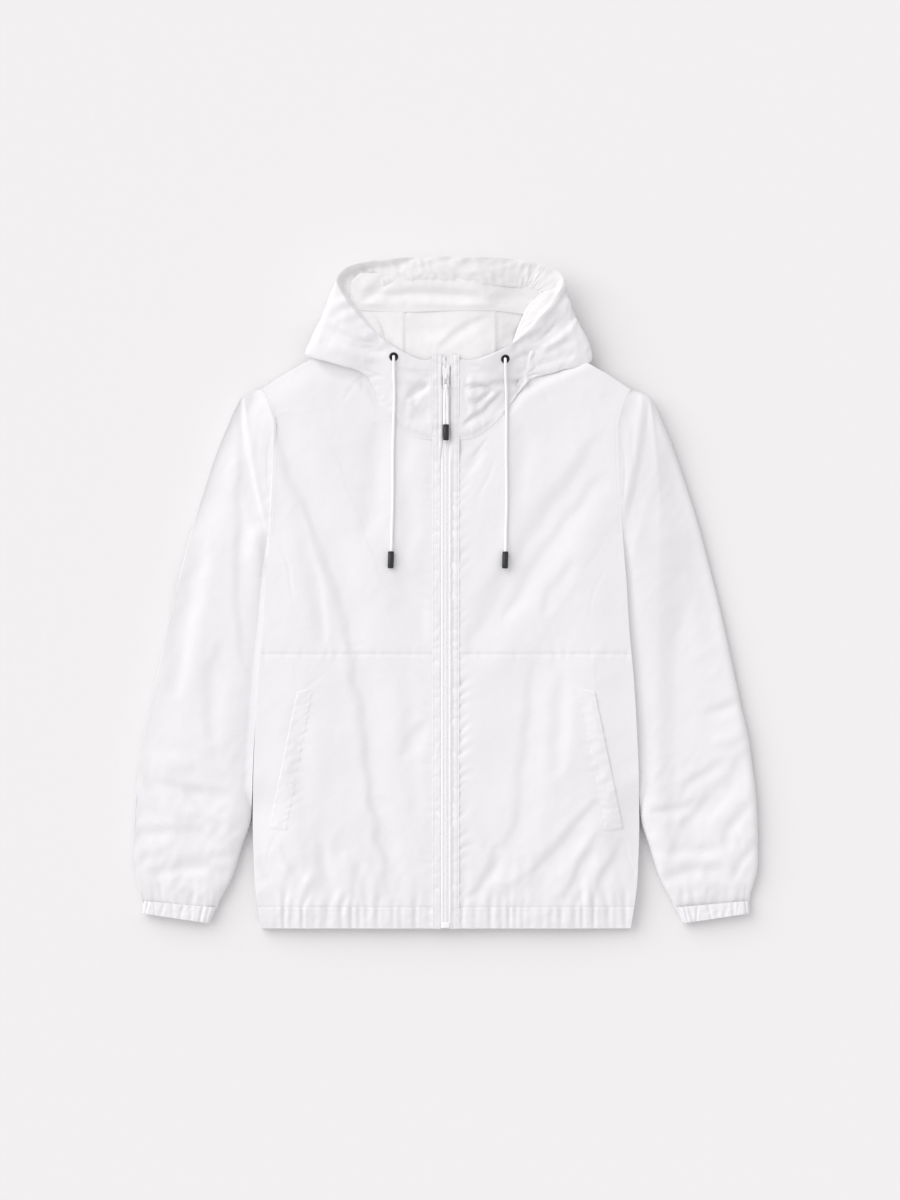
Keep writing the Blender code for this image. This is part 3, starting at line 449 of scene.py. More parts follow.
def between_edges(low, high, near, far, u, v):
    """A patch between four edge curves: low and high at v = 0 and 1, near and far at u = 0 and 1."""
    u = u[..., None]
    v = v[..., None]
    corners = (1 - u) * ((1 - v) * low[0] + v * high[0]) + u * ((1 - v) * low[-1] + v * high[-1])
    return (1 - v) * low[1] + v * high[1] + (1 - u) * near + u * far - corners


def spread(t, crowding=0.62):
    """Moves even places from 0 to 1 closer together towards 1, where the cloth turns down."""
    return (1 - crowding) * t + crowding * np.sin(t * math.pi / 2)


def turned_down(x, y, t, columns):
    """Moves the last column but one out beside the edge, where the cloth turns down to the side seam."""
    last_but_one = (t > 1 - 1.5 / columns) & (t < 1 - 0.5 / columns) & (y < ARM_BOTTOM + 3)
    return np.where(last_but_one, half_width(y) - EDGE_TURN, x)


def body_patch(neckline, bottom, t, v, centre, columns):
    """x and y over one half of the body, from y = bottom to its top edges. t runs out from the zip."""
    u = spread(t)
    shoulder = tuple(row for row in SHOULDER if row[0] >= NECK_POINT[0])
    top_y = np.array(neckline[0][1])
    side_top = np.array([half_width(ARM_TOP), ARM_TOP])
    at_neck = along_line(neckline, np.clip(t / NECK_SHARE, 0, 1))
    at_shoulder = along_line(shoulder, np.clip((t - NECK_SHARE) / (1 - NECK_SHARE), 0, 1))
    top = np.where((t <= NECK_SHARE)[..., None], at_neck, at_shoulder)
    top[..., 0] = np.where(t <= NECK_SHARE, np.maximum(top[..., 0], centre), top[..., 0])
    top = top + (side_top - np.array(SHOULDER[-1])) * eased((t - NECK_SHARE) / (1 - NECK_SHARE))[..., None]
    low_far = half_width(bottom)
    low = np.stack([centre + (low_far - centre) * u, np.full_like(u, bottom)], -1)
    near = np.stack([np.full_like(v, centre), bottom + (top_y - bottom) * v], -1)
    far_y = bottom + (ARM_TOP - bottom) * v
    far = np.stack([half_width(far_y), far_y], -1)
    low_ends = (np.array([centre, bottom]), low, np.array([low_far, bottom]))
    high_ends = (np.array([centre, top_y]), top, side_top)
    at = between_edges(low_ends, high_ends, near, far, u, v)
    at[..., 0] = turned_down(at[..., 0], at[..., 1], t, columns)
    return at


def front_upper(side):
    def form(t, v):
        at = body_patch(NECKLINE, CROSS_SEAM + SEAM_GAP / 2, t, spread(v, 0.3), ZIP_EDGE, FRONT_COLUMNS)
        x, y = side * at[..., 0], at[..., 1]
        return in_metres(x, y, front_height(x, y) - 0.35 * eased((CROSS_SEAM + 2.4 - y) / 2))

    return form


def front_lower(side):
    """The lower front. Its top edge goes on behind the upper front, as the seam's allowance does."""

    def form(t, v):
        bottom, seam = HEM_TOP - SEAM_ALLOWANCE, CROSS_SEAM - SEAM_GAP / 2
        y = bottom + (seam + SEAM_ALLOWANCE - bottom) * v
        x = side * turned_down(ZIP_EDGE + (half_width(y) - ZIP_EDGE) * spread(t), y, t, FRONT_COLUMNS)
        z = front_height(x, y)
        z = z - 0.85 * eased((y - seam + 0.6) / 1.6) - 1.6 * eased((HEM_TOP + 0.5 - y) / 2)
        return in_metres(x, y, z)

    return form


def noise(tree, scale, detail):
    """An even noise through the piece."""
    node = tree.nodes.new("ShaderNodeTexNoise")
    node.inputs["Scale"].default_value = scale
    node.inputs["Detail"].default_value = detail
    places = tree.nodes.new("ShaderNodeTexCoord")
    tree.links.new(places.outputs["Object"], node.inputs["Vector"])
    return node.outputs["Fac"]


def bumped(tree, height, strength, distance, under=None):
    """Gives the material's surface relief, on top of the relief that is under it."""
    node = tree.nodes.new("ShaderNodeBump")
    node.inputs["Strength"].default_value = strength
    node.inputs["Distance"].default_value = distance
    tree.links.new(height, node.inputs["Height"])
    if under:
        tree.links.new(under, node.inputs["Normal"])
    tree.links.new(node.outputs["Normal"], tree.nodes["Principled BSDF"].inputs["Normal"])
    return node.outputs["Normal"]


def maths(tree, operation, first, second=None):
    """The result of the operation on one or two outputs."""
    node = tree.nodes.new("ShaderNodeMath")
    node.operation = operation
    tree.links.new(first, node.inputs[0])
    if second:
        tree.links.new(second, node.inputs[1])
    return node.outputs[0]


def waves(tree, along, pitch):
    """A sine wave of that pitch in metres."""
    turned = tree.nodes.new("ShaderNodeMath")
    turned.operation = "MULTIPLY"
    turned.inputs[1].default_value = 2 * math.pi / pitch
    tree.links.new(along, turned.inputs[0])
    return maths(tree, "SINE", turned.outputs[0])


def cut_map(tree):
    """The places across and along the cut, in metres."""
    flat = tree.nodes.new("ShaderNodeSeparateXYZ")
    places = tree.nodes.new("ShaderNodeTexCoord")
    tree.links.new(places.outputs["UV"], flat.inputs["Vector"])
    return flat.outputs["X"], flat.outputs["Y"]


def woven(name, colour, shade, roughness, relief=0.12):
    """Plain-woven nylon: two sets of fine threads along the cloth, and faint creases that never press out."""
    material = bpy.data.materials.new(name)
    material.use_nodes = True
    tree = material.node_tree
    shader = tree.nodes["Principled BSDF"]
    shader.inputs["Roughness"].default_value = roughness
    shader.inputs["Specular IOR Level"].default_value = 0.4
    shader.inputs["Sheen Weight"].default_value = 0.12
    shader.inputs["Sheen Roughness"].default_value = 0.5
    tone = tree.nodes.new("ShaderNodeMixRGB")
    tone.inputs["Color1"].default_value = (*shade, 1.0)
    tone.inputs["Color2"].default_value = (*colour, 1.0)
    tree.links.new(noise(tree, 9.0, 3.0), tone.inputs["Fac"])
    tree.links.new(tone.outputs["Color"], shader.inputs["Base Color"])
    creases = bumped(tree, noise(tree, 95.0, 4.0), relief, 0.0025)
    threads = [waves(tree, way, THREAD_PITCH) for way in cut_map(tree)]
    bumped(tree, maths(tree, "MULTIPLY", *threads), 0.25, 0.00003, creases)
    return material


nylon = woven("white_nylon", NYLON, NYLON_SHADE, 0.52)


def grid_of(columns, rows):
    """A flat grid of 1 by 1, its mesh, and the places of its points from 0 to 1, row by row."""
    bpy.ops.object.select_all(action="DESELECT")
    bpy.ops.mesh.primitive_grid_add(x_subdivisions=columns, y_subdivisions=rows, size=1)
    obj = bpy.context.object
    mesh = obj.data
    flat = np.empty(len(mesh.vertices) * 3)
    mesh.vertices.foreach_get("co", flat)
    flat = (flat.reshape(rows + 1, columns + 1, 3) + 0.5).clip(0, 1)
    return obj, mesh, flat[..., 0], flat[..., 1]


def scale_map(mesh, wide, tall):
    """Makes the piece's UV map as wide and as tall as its cut, in metres."""
    uv = np.empty(len(mesh.loops) * 2)
    layer = mesh.uv_layers.active
    layer.data.foreach_get("uv", uv)
    layer.data.foreach_set("uv", (uv.reshape(-1, 2) * (wide, tall)).ravel())


def done(obj, name, material, body="jacket", stands_for=()):
    """Names a finished piece, gives it its material and ties it to its body."""
    obj.name = name
    obj.data.name = name
    obj.data.materials.clear()
    obj.data.materials.append(material)
    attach(obj, body)
    if stands_for:
        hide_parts(*stands_for)
    return obj


def sewn(name, form, columns, rows, material, wall=CLOTH, tube=False, stands_for=()):
    """A piece of cloth: a grid laid over the form, thickened to the wall. A tube's side columns meet."""
    obj, mesh, s, v = grid_of(columns, rows)
    points = form(s, v)
    mesh.vertices.foreach_set("co", points.ravel())
    wide = np.linalg.norm(np.diff(points, axis=1), axis=-1).sum(1).mean()
    tall = np.linalg.norm(np.diff(points, axis=0), axis=-1).sum(0).mean()
    scale_map(mesh, wide, tall)
    if tube:
        shape = bmesh.new()
        shape.from_mesh(mesh)
        bmesh.ops.remove_doubles(shape, verts=shape.verts, dist=1e-6)
        shape.to_mesh(mesh)
        shape.free()
    mesh.shade_smooth()
    if wall:
        solidify = obj.modifiers.new("Wall", "SOLIDIFY")
        solidify.thickness = wall * MM
        solidify.offset = 0.0
        bpy.ops.object.modifier_apply(modifier="Wall")
        bpy.ops.object.shade_smooth_by_angle(angle=math.radians(CUT_EDGE))
    return done(obj, name, material, stands_for=stands_for or (name.removesuffix("_cloth"),))


for hand, side in SIDES.items():
    upper = sewn(f"front_upper_{hand}_cloth", front_upper(side), FRONT_COLUMNS, 160, nylon)
    lower = sewn(f"front_lower_{hand}_cloth", front_lower(side), FRONT_COLUMNS, 136, nylon)


# The back
# One flat piece of the same nylon, from the hem's seam to the back neck. It lies pressed on the table,
# curls up to the side and shoulder seams, and has the faint lines of having lain folded.

BACK_NECKLINE = ((0.0, 290.0), (35.0, 291.5), (70.0, 297.5), (95.0, 305.0))
BACK_CURL = 16.0
BACK_COLUMNS = 96
ON_FLOOR = 0.36


def strewn(seed, count, corner, far_corner, half, depth, length, turn, sway):
    """Rows for folded() like the listed ones, strewn unevenly over a region."""
    random = np.random.default_rng(seed)
    rows = []
    for _ in range(count):
        middle = random.uniform(corner, far_corner)
        angle = math.radians(turn + random.normal(0, sway))
        run = np.array([math.cos(angle), math.sin(angle)])
        across = np.array([-run[1], run[0]]) * random.normal(0, 0.16)
        reach = length * random.uniform(0.5, 1.5) / 2
        knots = [tuple(middle + reach * (t * run + t * t * across)) for t in (-1.0, -0.3, 0.4, 1.0)]
        size = half * random.uniform(0.6, 1.5), depth * random.uniform(0.5, 1.5)
        rows.append((*size, random.uniform(-0.6, 0.6), *knots))
    return tuple(rows)


BACK_FOLDS = (
    (9, -1.6, 0.3, (-150, 180), (-120, 90), (-96, 0), (-88, -90)),
    (8, -1.4, -0.3, (140, 190), (112, 110), (84, 30), (70, -40)),
    (10, -1.5, 0.2, (-60, -140), (-48, -230), (-52, -330)),
    (9, -1.7, -0.2, (96, -170), (84, -260), (92, -350)),
    (7, -1.1, 0.4, (-190, -200), (-160, -290), (-150, -360)),
    (7, -1.2, 0.3, (10, 230), (4, 150), (-10, 70)),
    *strewn(301, 22, (-190, -350), (190, 240), 6.0, -0.8, 120, 84, 26),
    *strewn(302, 16, (-200, -375), (200, -330), 4.0, -0.9, 46, 88, 16),
)


def back_height(x, y):
    """The back's cloth: on the table, curled up to its seams, with folds that stand off the table."""
    edge = from_table(SIDE, 3, y) - ON_FLOOR
    side = 1 - rounded((half_width(y) - np.abs(x)) / BACK_CURL)
    top = 1 - rounded(shoulder_distance(x, y) / BACK_CURL)
    top_edge = np.where(np.abs(x) > NECK_POINT[0] - 1, SHOULDER_HEIGHT - 0.8 - ON_FLOOR, 0.0)
    folds = np.maximum(folded(BACK_FOLDS, x, y) + 0.14 * crumpled(x, y, 30, 305) - 0.05, 0.0)
    return ON_FLOOR + np.maximum(edge * side, top_edge * top) + folds * (1 - side) * (1 - top)


def back_form(s, v):
    t = np.abs(2 * s - 1)
    side = np.where(s < 0.5, -1.0, 1.0)
    at = body_patch(BACK_NECKLINE, HEM_TOP - SEAM_ALLOWANCE, t, spread(v, 0.3), 0.0, BACK_COLUMNS / 2)
    x = side * at[..., 0]
    z = back_height(x, at[..., 1]) + 1.4 * eased((HEM_TOP + 0.5 - at[..., 1]) / 2)
    return in_metres(x, at[..., 1], z)


back = sewn("back_cloth", back_form, BACK_COLUMNS, 132, nylon)


# The hem
# A casing of the same nylon, turned up over an elastic that draws it into uneven folds.
# It is sewn on in three stretches: the left front, the right front and the back.

TURNED_IN = 9.0
TURN_RADIUS = 0.9
HEM_PROUD = 0.5
HEM_HANG = 5.5
HEM_COLUMNS = 190


def turned_edge(v, long):
    """Along a band that is folded inwards at its open edge: how far down it lies, and how deep inside."""
    outer, inner = 0.74, 0.84
    turn = np.clip((v - outer) / (inner - outer), 0, 1) * math.pi
    down = np.where(v < outer, v / outer * long, long + TURN_RADIUS * np.sin(turn))
    down = np.where(v > inner, long - (v - inner) / (1 - inner) * TURNED_IN, down)
    return down, TURN_RADIUS * (1 - np.cos(turn))


def hem_front(side):
    def form(t, v):
        down, inside = turned_edge(v, HEM_TOP - SEAM_GAP / 2 - HEM_BOTTOM - TURN_RADIUS)
        y = HEM_TOP - SEAM_GAP / 2 - down
        x = side * turned_down(ZIP_EDGE + (half_width(y) - ZIP_EDGE) * spread(t, 0.3), y, t, HEM_COLUMNS)
        seam = 0.7 * bell((y - HEM_TOP) / 1.5) * (inside < 0.1)
        stitches = 0.35 * (bell((y - HEM_TOP + 4) / 0.9) + bell((y - HEM_BOTTOM - 5) / 0.9)) * (inside < 0.1)
        fine = 0.22 * crumpled(x, y * 0.6, 9, 61)
        hang = HEM_HANG * eased((v - 0.725) / 0.08)
        return in_metres(x, y, front_height(x, y) + HEM_PROUD + fine - seam - stitches - inside - hang)

    return form


def hem_back_form(s, v):
    down, inside = turned_edge(v, HEM_TOP - SEAM_GAP / 2 - HEM_BOTTOM - TURN_RADIUS)
    y = HEM_TOP - SEAM_GAP / 2 - down
    t = 2 * s - 1
    x = half_width(y) * np.sign(t) * spread(np.abs(t), 0.3)
    draws = 0.5 * np.maximum(tucks(x + 222, y + 388, 444, 12, 40, -1.0, 66), 0.0)
    return in_metres(x, y, back_height(x, y) + inside + draws * bell(x / 205) ** 0.3)


for hand, side in SIDES.items():
    hem = sewn(f"hem_{hand}_cloth", hem_front(side), HEM_COLUMNS, 22, nylon)
hem_back = sewn("hem_back_cloth", hem_back_form, 220, 20, nylon)


# The sleeves
# One piece each, sewn into a tube with the seam underneath, and set into the armhole with a little fullness.
# The cap lies over in a fold beside the armhole, and the forearm is full of soft creases above the cuff.

# place along, outer x, outer y, inner y, inner gap, height, edge height
SLEEVE = (
    (0.00, 222.6, 246.8, 65.0, 0.3, 22.0, 7.0),
    (0.06, 243.2, 237.4, 49.0, 0.3, 25.0, 6.6),
    (0.12, 261.6, 201.0, 29.0, 0.3, 25.5, 6.4),
    (0.20, 275.0, 169.0, 4.0, 0.3, 24.0, 6.2),
    (0.30, 296.0, 106.0, -42.0, 0.3, 21.5, 6.2),
    (0.40, 310.8, 55.0, -88.0, 0.3, 20.0, 6.2),
    (0.50, 327.0, -8.0, -134.0, 0.3, 19.5, 6.2),
    (0.60, 340.2, -68.0, -180.0, 0.3, 19.5, 6.2),
    (0.70, 354.6, -135.0, -224.0, 0.3, 19.5, 6.2),
    (0.78, 365.8, -188.0, -266.0, 1.8, 19.5, 6.2),
    (0.86, 373.2, -262.0, -302.0, 13.0, 19.0, 6.2),
    (0.93, 374.8, -320.0, -340.0, 27.0, 17.8, 6.2),
    (1.00, 364.0, -366.6, -374.4, 49.5, 15.0, 6.2),
)
CAP_STEP = 3.4
FRONT_SHARE = 0.62
SLEEVE_ROUND = 0.36
SLEEVE_FLUSH = 0.80
LEFT_WALL = 0.80
RIGHT_ROUND = 13.0
SLEEVE_SQUARE = 3.0
SLEEVE_LONG = 640.0
CAP_CROWDING = 0.35
SEAM_BLEND = 0.12
END_START = 0.985
END_RUN = 0.015
END_DROP = 2.4
UNDER_CUFF = 3.6
UNDER_ARMHOLE = 2.7
OUTER_RISE = 58.0
# y, x
CAP_FOLD = ((76.0, 214.0), (122.0, 226.0), (167.0, 235.0), (205.0, 241.0), (237.0, 243.6))
RIGHT_RIDGE = (
    (-374.0, 251.0),
    (-120.0, 251.0),
    (-20.0, 253.0),
    (40.0, 256.0),
    (130.0, 256.0),
    (247.0, 244.0),
)
# x, y
CUFF_LINE = np.array(((364.0, -367.6), (275.6, -375.4)))
ARMHOLE = np.array(((222.0, 246.6), (206.0, 201.0), (207.6, 163.8), (210.0, 105.0), (212.4, 65.4)))

SLEEVE_FOLDS = (
    (12, 1.6, -0.8, (-243, 236), (-243, 185), (-243, 137), (-244, 100), (-246, 50), (-246, 0), (-241, -84)),
    (12, -1.6, 0.0, (-222, 84), (-228, 56), (-224, 20)),
    (15, 2.4, 0.2, (-292, 60), (-306, 0), (-318, -60), (-322, -120)),
    (12, 1.8, -0.3, (-268, -60), (-282, -120), (-280, -180)),
    (9, 3.2, 0.5, (-360, -214), (-335, -230), (-300, -238), (-262, -244)),
    (7, 2.2, -0.4, (-318, -238), (-296, -252), (-266, -264)),
    (9, 3.0, 0.4, (-374, -286), (-340, -286), (-300, -290), (-274, -300)),
    (10, 3.4, -0.6, (-350, -338), (-320, -330), (-290, -328), (-254, -340)),
    (7, 2.4, -0.3, (-284, -311), (-264, -315), (-246, -322)),
    (7, 2.0, 0.4, (-372, -246), (-352, -262), (-330, -272)),
    (6, 1.7, 0.4, (-366, -320), (-344, -310), (-322, -304)),
    (9, -1.5, 0.0, (-350, -196), (-330, -204), (-300, -206)),
    (14, -1.0, 0.0, (290, 20), (300, -40), (306, -80)),
    (13, 2.4, -0.7, (374, -184), (350, -208), (327, -232), (298, -262), (272, -305)),
    (8, 2.0, -0.4, (340, -200), (312, -214), (284, -238)),
    (7, 2.4, 0.4, (244, -262), (266, -258), (296, -248)),
    (8, 2.6, -0.4, (268, -310), (296, -306), (332, -304)),
    (8, 2.4, 0.4, (250, -342), (284, -334), (322, -328)),
    (9, 2.0, 0.3, (312, -144), (334, -138), (358, -126)),
    (9, 2.2, -0.4, (372, -246), (350, -268), (336, -300)),
    (7, 1.8, 0.4, (374, -300), (356, -318), (344, -346)),
    (8, -1.4, 0.0, (356, -160), (338, -172), (318, -176)),
)
SLEEVE_CREASES = (
    (2.8, 1.1, 0.5, (-216, 226), (-224, 196), (-226, 160)),
    (2.6, 0.9, -0.5, (-208, 196), (-214, 168), (-214, 130)),
    (2.6, 0.8, 0.5, (-230, 218), (-236, 190)),
    (2.8, 1.0, 0.5, (216, 226), (224, 196), (225, 150)),
    (2.6, 0.8, -0.5, (209, 190), (214, 150), (212, 110)),
    (2.8, 1.0, 0.5, (-330, -236), (-312, -250), (-304, -268)),
    (2.6, 0.9, -0.5, (-292, -226), (-276, -236), (-262, -238)),
    (2.8, 1.0, 0.5, (-346, -296), (-326, -304), (-312, -318)),
    (2.8, 0.9, -0.4, (-300, -300), (-286, -312), (-280, -330)),
    (2.8, 1.0, 0.5, (352, -226), (330, -246), (318, -268)),
    (2.6, 0.9, -0.4, (286, -284), (300, -296), (322, -298)),
    (2.8, 0.9, 0.4, (306, -320), (330, -322), (352, -334)),
    (2.6, 0.8, -0.5, (262, -226), (272, -244), (276, -262)),
    (2.8, 0.9, 0.4, (340, -270), (352, -290), (356, -310)),
)
SLEEVE_BACK_FOLDS = (
    *strewn(311, 12, (236, -200), (318, 150), 7.0, -1.5, 130, 106, 20),
    *strewn(312, 10, (256, -350), (366, -200), 5.0, -1.6, 70, 20, 30),
    *strewn(313, 12, (-318, -200), (-236, 150), 7.0, -1.5, 130, 74, 20),
    *strewn(314, 10, (-366, -350), (-256, -200), 5.0, -1.6, 70, 160, 30),
)


def raised(points, rise, facing=None):
    """Moves a grid of points out along its own normals or another grid's, by the rise in millimetres."""
    facing = points if facing is None else facing
    normal = np.cross(np.gradient(facing, axis=1), np.gradient(facing, axis=0))
    length = np.linalg.norm(normal, axis=-1, keepdims=True)
    return points + normal / np.maximum(length, 1e-12) * rise[..., None] * MM


def around_tube(s, front_share):
    """The place from 0 to 1 round a tube, with that share of the columns on its front half."""
    return np.where(s < front_share, s / front_share * 0.5, 0.5 + (s - front_share) / (1 - front_share) * 0.5)


def right_fall(x, y, outer_x):
    """How far the right sleeve falls away from the ridge along it to its outer edge."""
    ridge = np.interp(y, column(RIGHT_RIDGE, 0), column(RIGHT_RIDGE, 1))
    upper = eased((y + 60) / 60)
    to_edge = (x - ridge) / np.maximum(outer_x - ridge, 1.0)
    fall = (3.2 + 1.2 * upper) * eased((x - ridge) / (26 + 18 * upper))
    return fall + 3.6 * np.clip(to_edge, 0, 1) * eased((y + 190) / 150)


def sleeve_form(side):
    left = side < 0

    def form(s, v):
        a = around_tube(s, FRONT_SHARE)
        on_top = a <= 0.5
        v = (1 - CAP_CROWDING) * v + CAP_CROWDING * v**2
        outer = np.stack([from_table(SLEEVE, 1, v), from_table(SLEEVE, 2, v)], -1)
        inner_y = from_table(SLEEVE, 3, v)
        apart = from_table(SLEEVE, 4, v) + (0.5 if left else 0.0) * eased((v - 0.5) / 0.12)
        inner = np.stack([half_width(inner_y) + apart, inner_y], -1)
        t = (1 - np.cos(2 * math.pi * a)) / 2
        at = outer + (inner - outer) * t[..., None]
        near_seam = 1 - eased(v / (SEAM_BLEND * (0.2 + 0.8 * eased(t / 0.35))))
        y = at[..., 1]
        chord = np.hypot(*np.moveaxis(inner - outer, -1, 0))
        height = from_table(SLEEVE, 5, v)
        edge = from_table(SLEEVE, 6, v)
        from_edge = np.minimum(t, 1 - t) * chord
        tucked = (1 - eased(v / 0.006)) * (on_top * eased(from_edge / 12))
        gathered_in = eased((v - END_START) / END_RUN)
        x = at[..., 0] + (half_width(y) - 0.1 - UNDER_ARMHOLE * tucked - at[..., 0]) * near_seam
        beside_body = SLEEVE_FLUSH * (t > 0.5) * (1 - eased((v - 0.72) / 0.08))
        pressed = beside_body * eased(from_edge / EDGE_TURN)
        wall = LEFT_WALL * eased(from_edge / EDGE_TURN) + (1 - LEFT_WALL) * eased(from_edge / OUTER_RISE)
        outer_side = wall if left else squarer(from_edge / RIGHT_ROUND, SLEEVE_SQUARE)
        inner_side = np.maximum(squarer(from_edge / (SLEEVE_ROUND * chord), SLEEVE_SQUARE), pressed)
        full = np.where(t < 0.5, outer_side, inner_side)
        if not left:
            height = height - right_fall(x, y, outer[..., 0])
        dome = edge + (height - edge) * full
        outside = x - np.interp(y, column(CAP_FOLD, 0), column(CAP_FOLD, 1))
        shown_step = eased((y - 60) / 60) * rounded(from_edge / 30)
        step = CAP_STEP * (eased((outside + 1) / 5) if left else eased((outside + 9) / 10)) * shown_step
        lip = 0.5 * bell((outside + (2.5 if left else 10.0)) / 2.6) * shown_step
        seam = front_height(half_width(y) - 0.5, y)
        front = dome - step + lip + (seam - dome + step - lip) * near_seam
        back_edge = edge + (seam - edge) * near_seam
        back = ON_FLOOR + (back_edge - ON_FLOOR) * (1 - rounded(from_edge / 14))
        front = front - 0.95 * tucked - END_DROP * gathered_in * rounded(from_edge / 2)
        back = back + 0.9 * gathered_in * rounded(from_edge / 20)
        points = in_metres(side * x, y - UNDER_CUFF * gathered_in, np.where(on_top, front, back))
        signed = side * x
        low = eased((-150 - y) / 130)
        rise = folded(SLEEVE_FOLDS, signed + 2 * drifting(x, y, 30, 80), y + 2 * drifting(x, y, 30, 81))
        rise += folded(SLEEVE_CREASES, signed, y, crisp=True)
        rise += (0.25 + 0.75 * low) * crumpled(signed, y, 22, 83) + 0.5 * drifting(signed, y, 55, 84)
        rise += tucks(v * SLEEVE_LONG, from_edge - 3, SLEEVE_LONG, 26, 7, 0.5, 85) * low
        rise += tucks(*beside(CUFF_LINE * (side, 1), signed, y), 8.5, 17, 1.1, 86 + int(side), 0.1 * side)
        rise *= 1 - 0.8 * gathered_in
        rise += tucks(*beside(ARMHOLE * (side, 1), signed, y), 17, 12, 0.7, 88 + int(side), 0.5 * side)
        under = np.maximum(folded(SLEEVE_BACK_FOLDS, signed, y) + 0.3 * crumpled(signed, y, 24, 90), 0.0)
        rise = np.where(on_top, rise, -under * rounded(from_edge / 20))
        loose = np.where(t > 0.5, 0.05, 0.3)
        fade = np.where(on_top, loose + (1 - loose) * rounded(from_edge / 22), 1.0)
        return raised(points, side * rise * fade * eased(v / 0.04) * (1 - near_seam * 0.5))

    return form


for hand, side in SIDES.items():
    sleeve = sewn(f"sleeve_{hand}_cloth", sleeve_form(side), 96, 190, nylon, tube=True)


# The cuffs
# Narrow bands of the same nylon round an elastic, folded in at the open end and drawn into close gathers.

CUFF_END = ((364.4, -382.8), (284.6, -394.8))
CUFF_HEIGHT = 14.5
CUFF_EDGE = 6.5
CUFF_LONG = 18.0
CUFF_FRONT_SHARE = 0.6
CUFF_ROUND = 190.0


def cuff_base(side, a, v):
    """The cuff's tube with no gathers: a runs round it, and v along it from 0 to 1 and a little further."""
    t = (1 - np.cos(2 * math.pi * a)) / 2
    start, end = CUFF_LINE, np.array(CUFF_END)
    outer = start[0] + (end[0] - start[0]) * v[..., None]
    inner = start[1] + (end[1] - start[1]) * v[..., None]
    at = outer + (inner - outer) * t[..., None]
    from_edge = np.minimum(t, 1 - t) * np.hypot(*np.moveaxis(inner - outer, -1, 0))
    front = CUFF_EDGE + (CUFF_HEIGHT - CUFF_EDGE) * squarer(from_edge / RIGHT_ROUND, SLEEVE_SQUARE)
    back = ON_FLOOR + (CUFF_EDGE - ON_FLOOR) * (1 - rounded(from_edge / 12))
    return in_metres(side * at[..., 0], at[..., 1], np.where(a <= 0.5, front, back)), from_edge


def cuff_form(side):
    def form(s, v):
        a = around_tube(s, CUFF_FRONT_SHARE)
        on_top = a <= 0.5
        down, inside = turned_edge(v, CUFF_LONG - TURN_RADIUS)
        points, from_edge = cuff_base(side, a, down / CUFF_LONG)
        draws = tucks(a * CUFF_ROUND, down - CUFF_LONG / 2, CUFF_ROUND, 7.6, 60, 0.95, 95 + int(side), 0.15)
        draws = (draws + 0.35 * crumpled(a * CUFF_ROUND, down, 7, 97)) * (0.7 + 0.3 * eased(down / 4))
        rise = draws * rounded(from_edge / 8) - 0.25 * bell(down / 1.6) * (inside < 0.1)
        rise = np.where(on_top, rise, -np.maximum(draws, 0) * 0.5 * rounded(from_edge / 8))
        return raised(points, side * (rise - inside), cuff_base(side, a, v)[0])

    return form


for hand, side in SIDES.items():
    cuff = sewn(f"cuff_{hand}_cloth", cuff_form(side), 190, 20, nylon, tube=True)


# The hood and the collar
# Two side panels and a centre panel of the same nylon. The side panels run on down the front as the
# collar, so hood and collar are one. It lies spread, and leans to the right, where it is full of creases.

# neck x, y, z, low bend x, y, z, high bend x, y, z, rim x, y, z, facing x, y, z
HOOD = (
    (5.6, 184.0, 29.6, 5.6, 214.0, 32.2, 5.6, 250.0, 36.5, 5.6, 285.0, 41.0, 5.6, 254.0, 35.0),
    (28.0, 186.4, 29.8, 28.0, 215.0, 32.6, 27.0, 247.0, 36.4, 26.0, 280.0, 39.8, 27.0, 254.0, 36.5),
    (55.2, 202.4, 29.8, 55.0, 230.0, 33.6, 56.0, 262.0, 38.2, 58.0, 291.0, 42.0, 55.0, 265.0, 38.0),
    (76.6, 227.0, 29.8, 80.0, 252.0, 33.6, 84.0, 277.0, 38.6, 82.0, 306.0, 43.2, 70.0, 290.0, 38.5),
    (91.0, 257.0, 29.8, 103.0, 262.5, 33.4, 112.0, 279.0, 38.0, 103.0, 325.0, 44.8, 82.0, 322.0, 39.0),
    (99.0, 288.0, 27.6, 134.0, 272.5, 32.5, 146.0, 289.0, 36.0, 121.0, 347.0, 46.4, 93.0, 345.0, 40.0),
    (102.0, 310.0, 8.0, 168.0, 285.0, 22.0, 160.0, 308.0, 33.5, 131.0, 362.0, 46.4, 102.0, 354.0, 41.0),
    (86.0, 304.6, 1.2, 142.0, 337.0, 3.0, 147.0, 342.0, 30.5, 135.4, 375.0, 46.4, 106.0, 359.0, 41.6),
    (66.0, 298.4, 0.6, 124.0, 368.0, 0.9, 133.0, 378.0, 28.0, 124.0, 390.0, 46.6, 101.0, 363.0, 42.0),
    (50.0, 294.8, 0.6, 96.0, 383.0, 0.6, 103.0, 393.0, 24.0, 101.0, 396.6, 46.6, 88.0, 366.0, 42.0),
    (34.0, 292.4, 0.6, 55.0, 389.0, 0.6, 58.0, 399.4, 25.0, 57.0, 401.4, 46.2, 54.0, 369.0, 41.2),
    (0.0, 291.2, 0.6, 0.0, 391.0, 0.6, 0.0, 402.2, 25.0, 0.0, 403.2, 45.8, 0.0, 371.0, 40.6),
)
HOOD_LEAN = 5.0
HOOD_DROOP = 4.0
HOOD_SINK = 9.0
CENTRE_RAY = 9.6
CENTRE_SEAM = 0.004
NECK_LIFT = 0.62

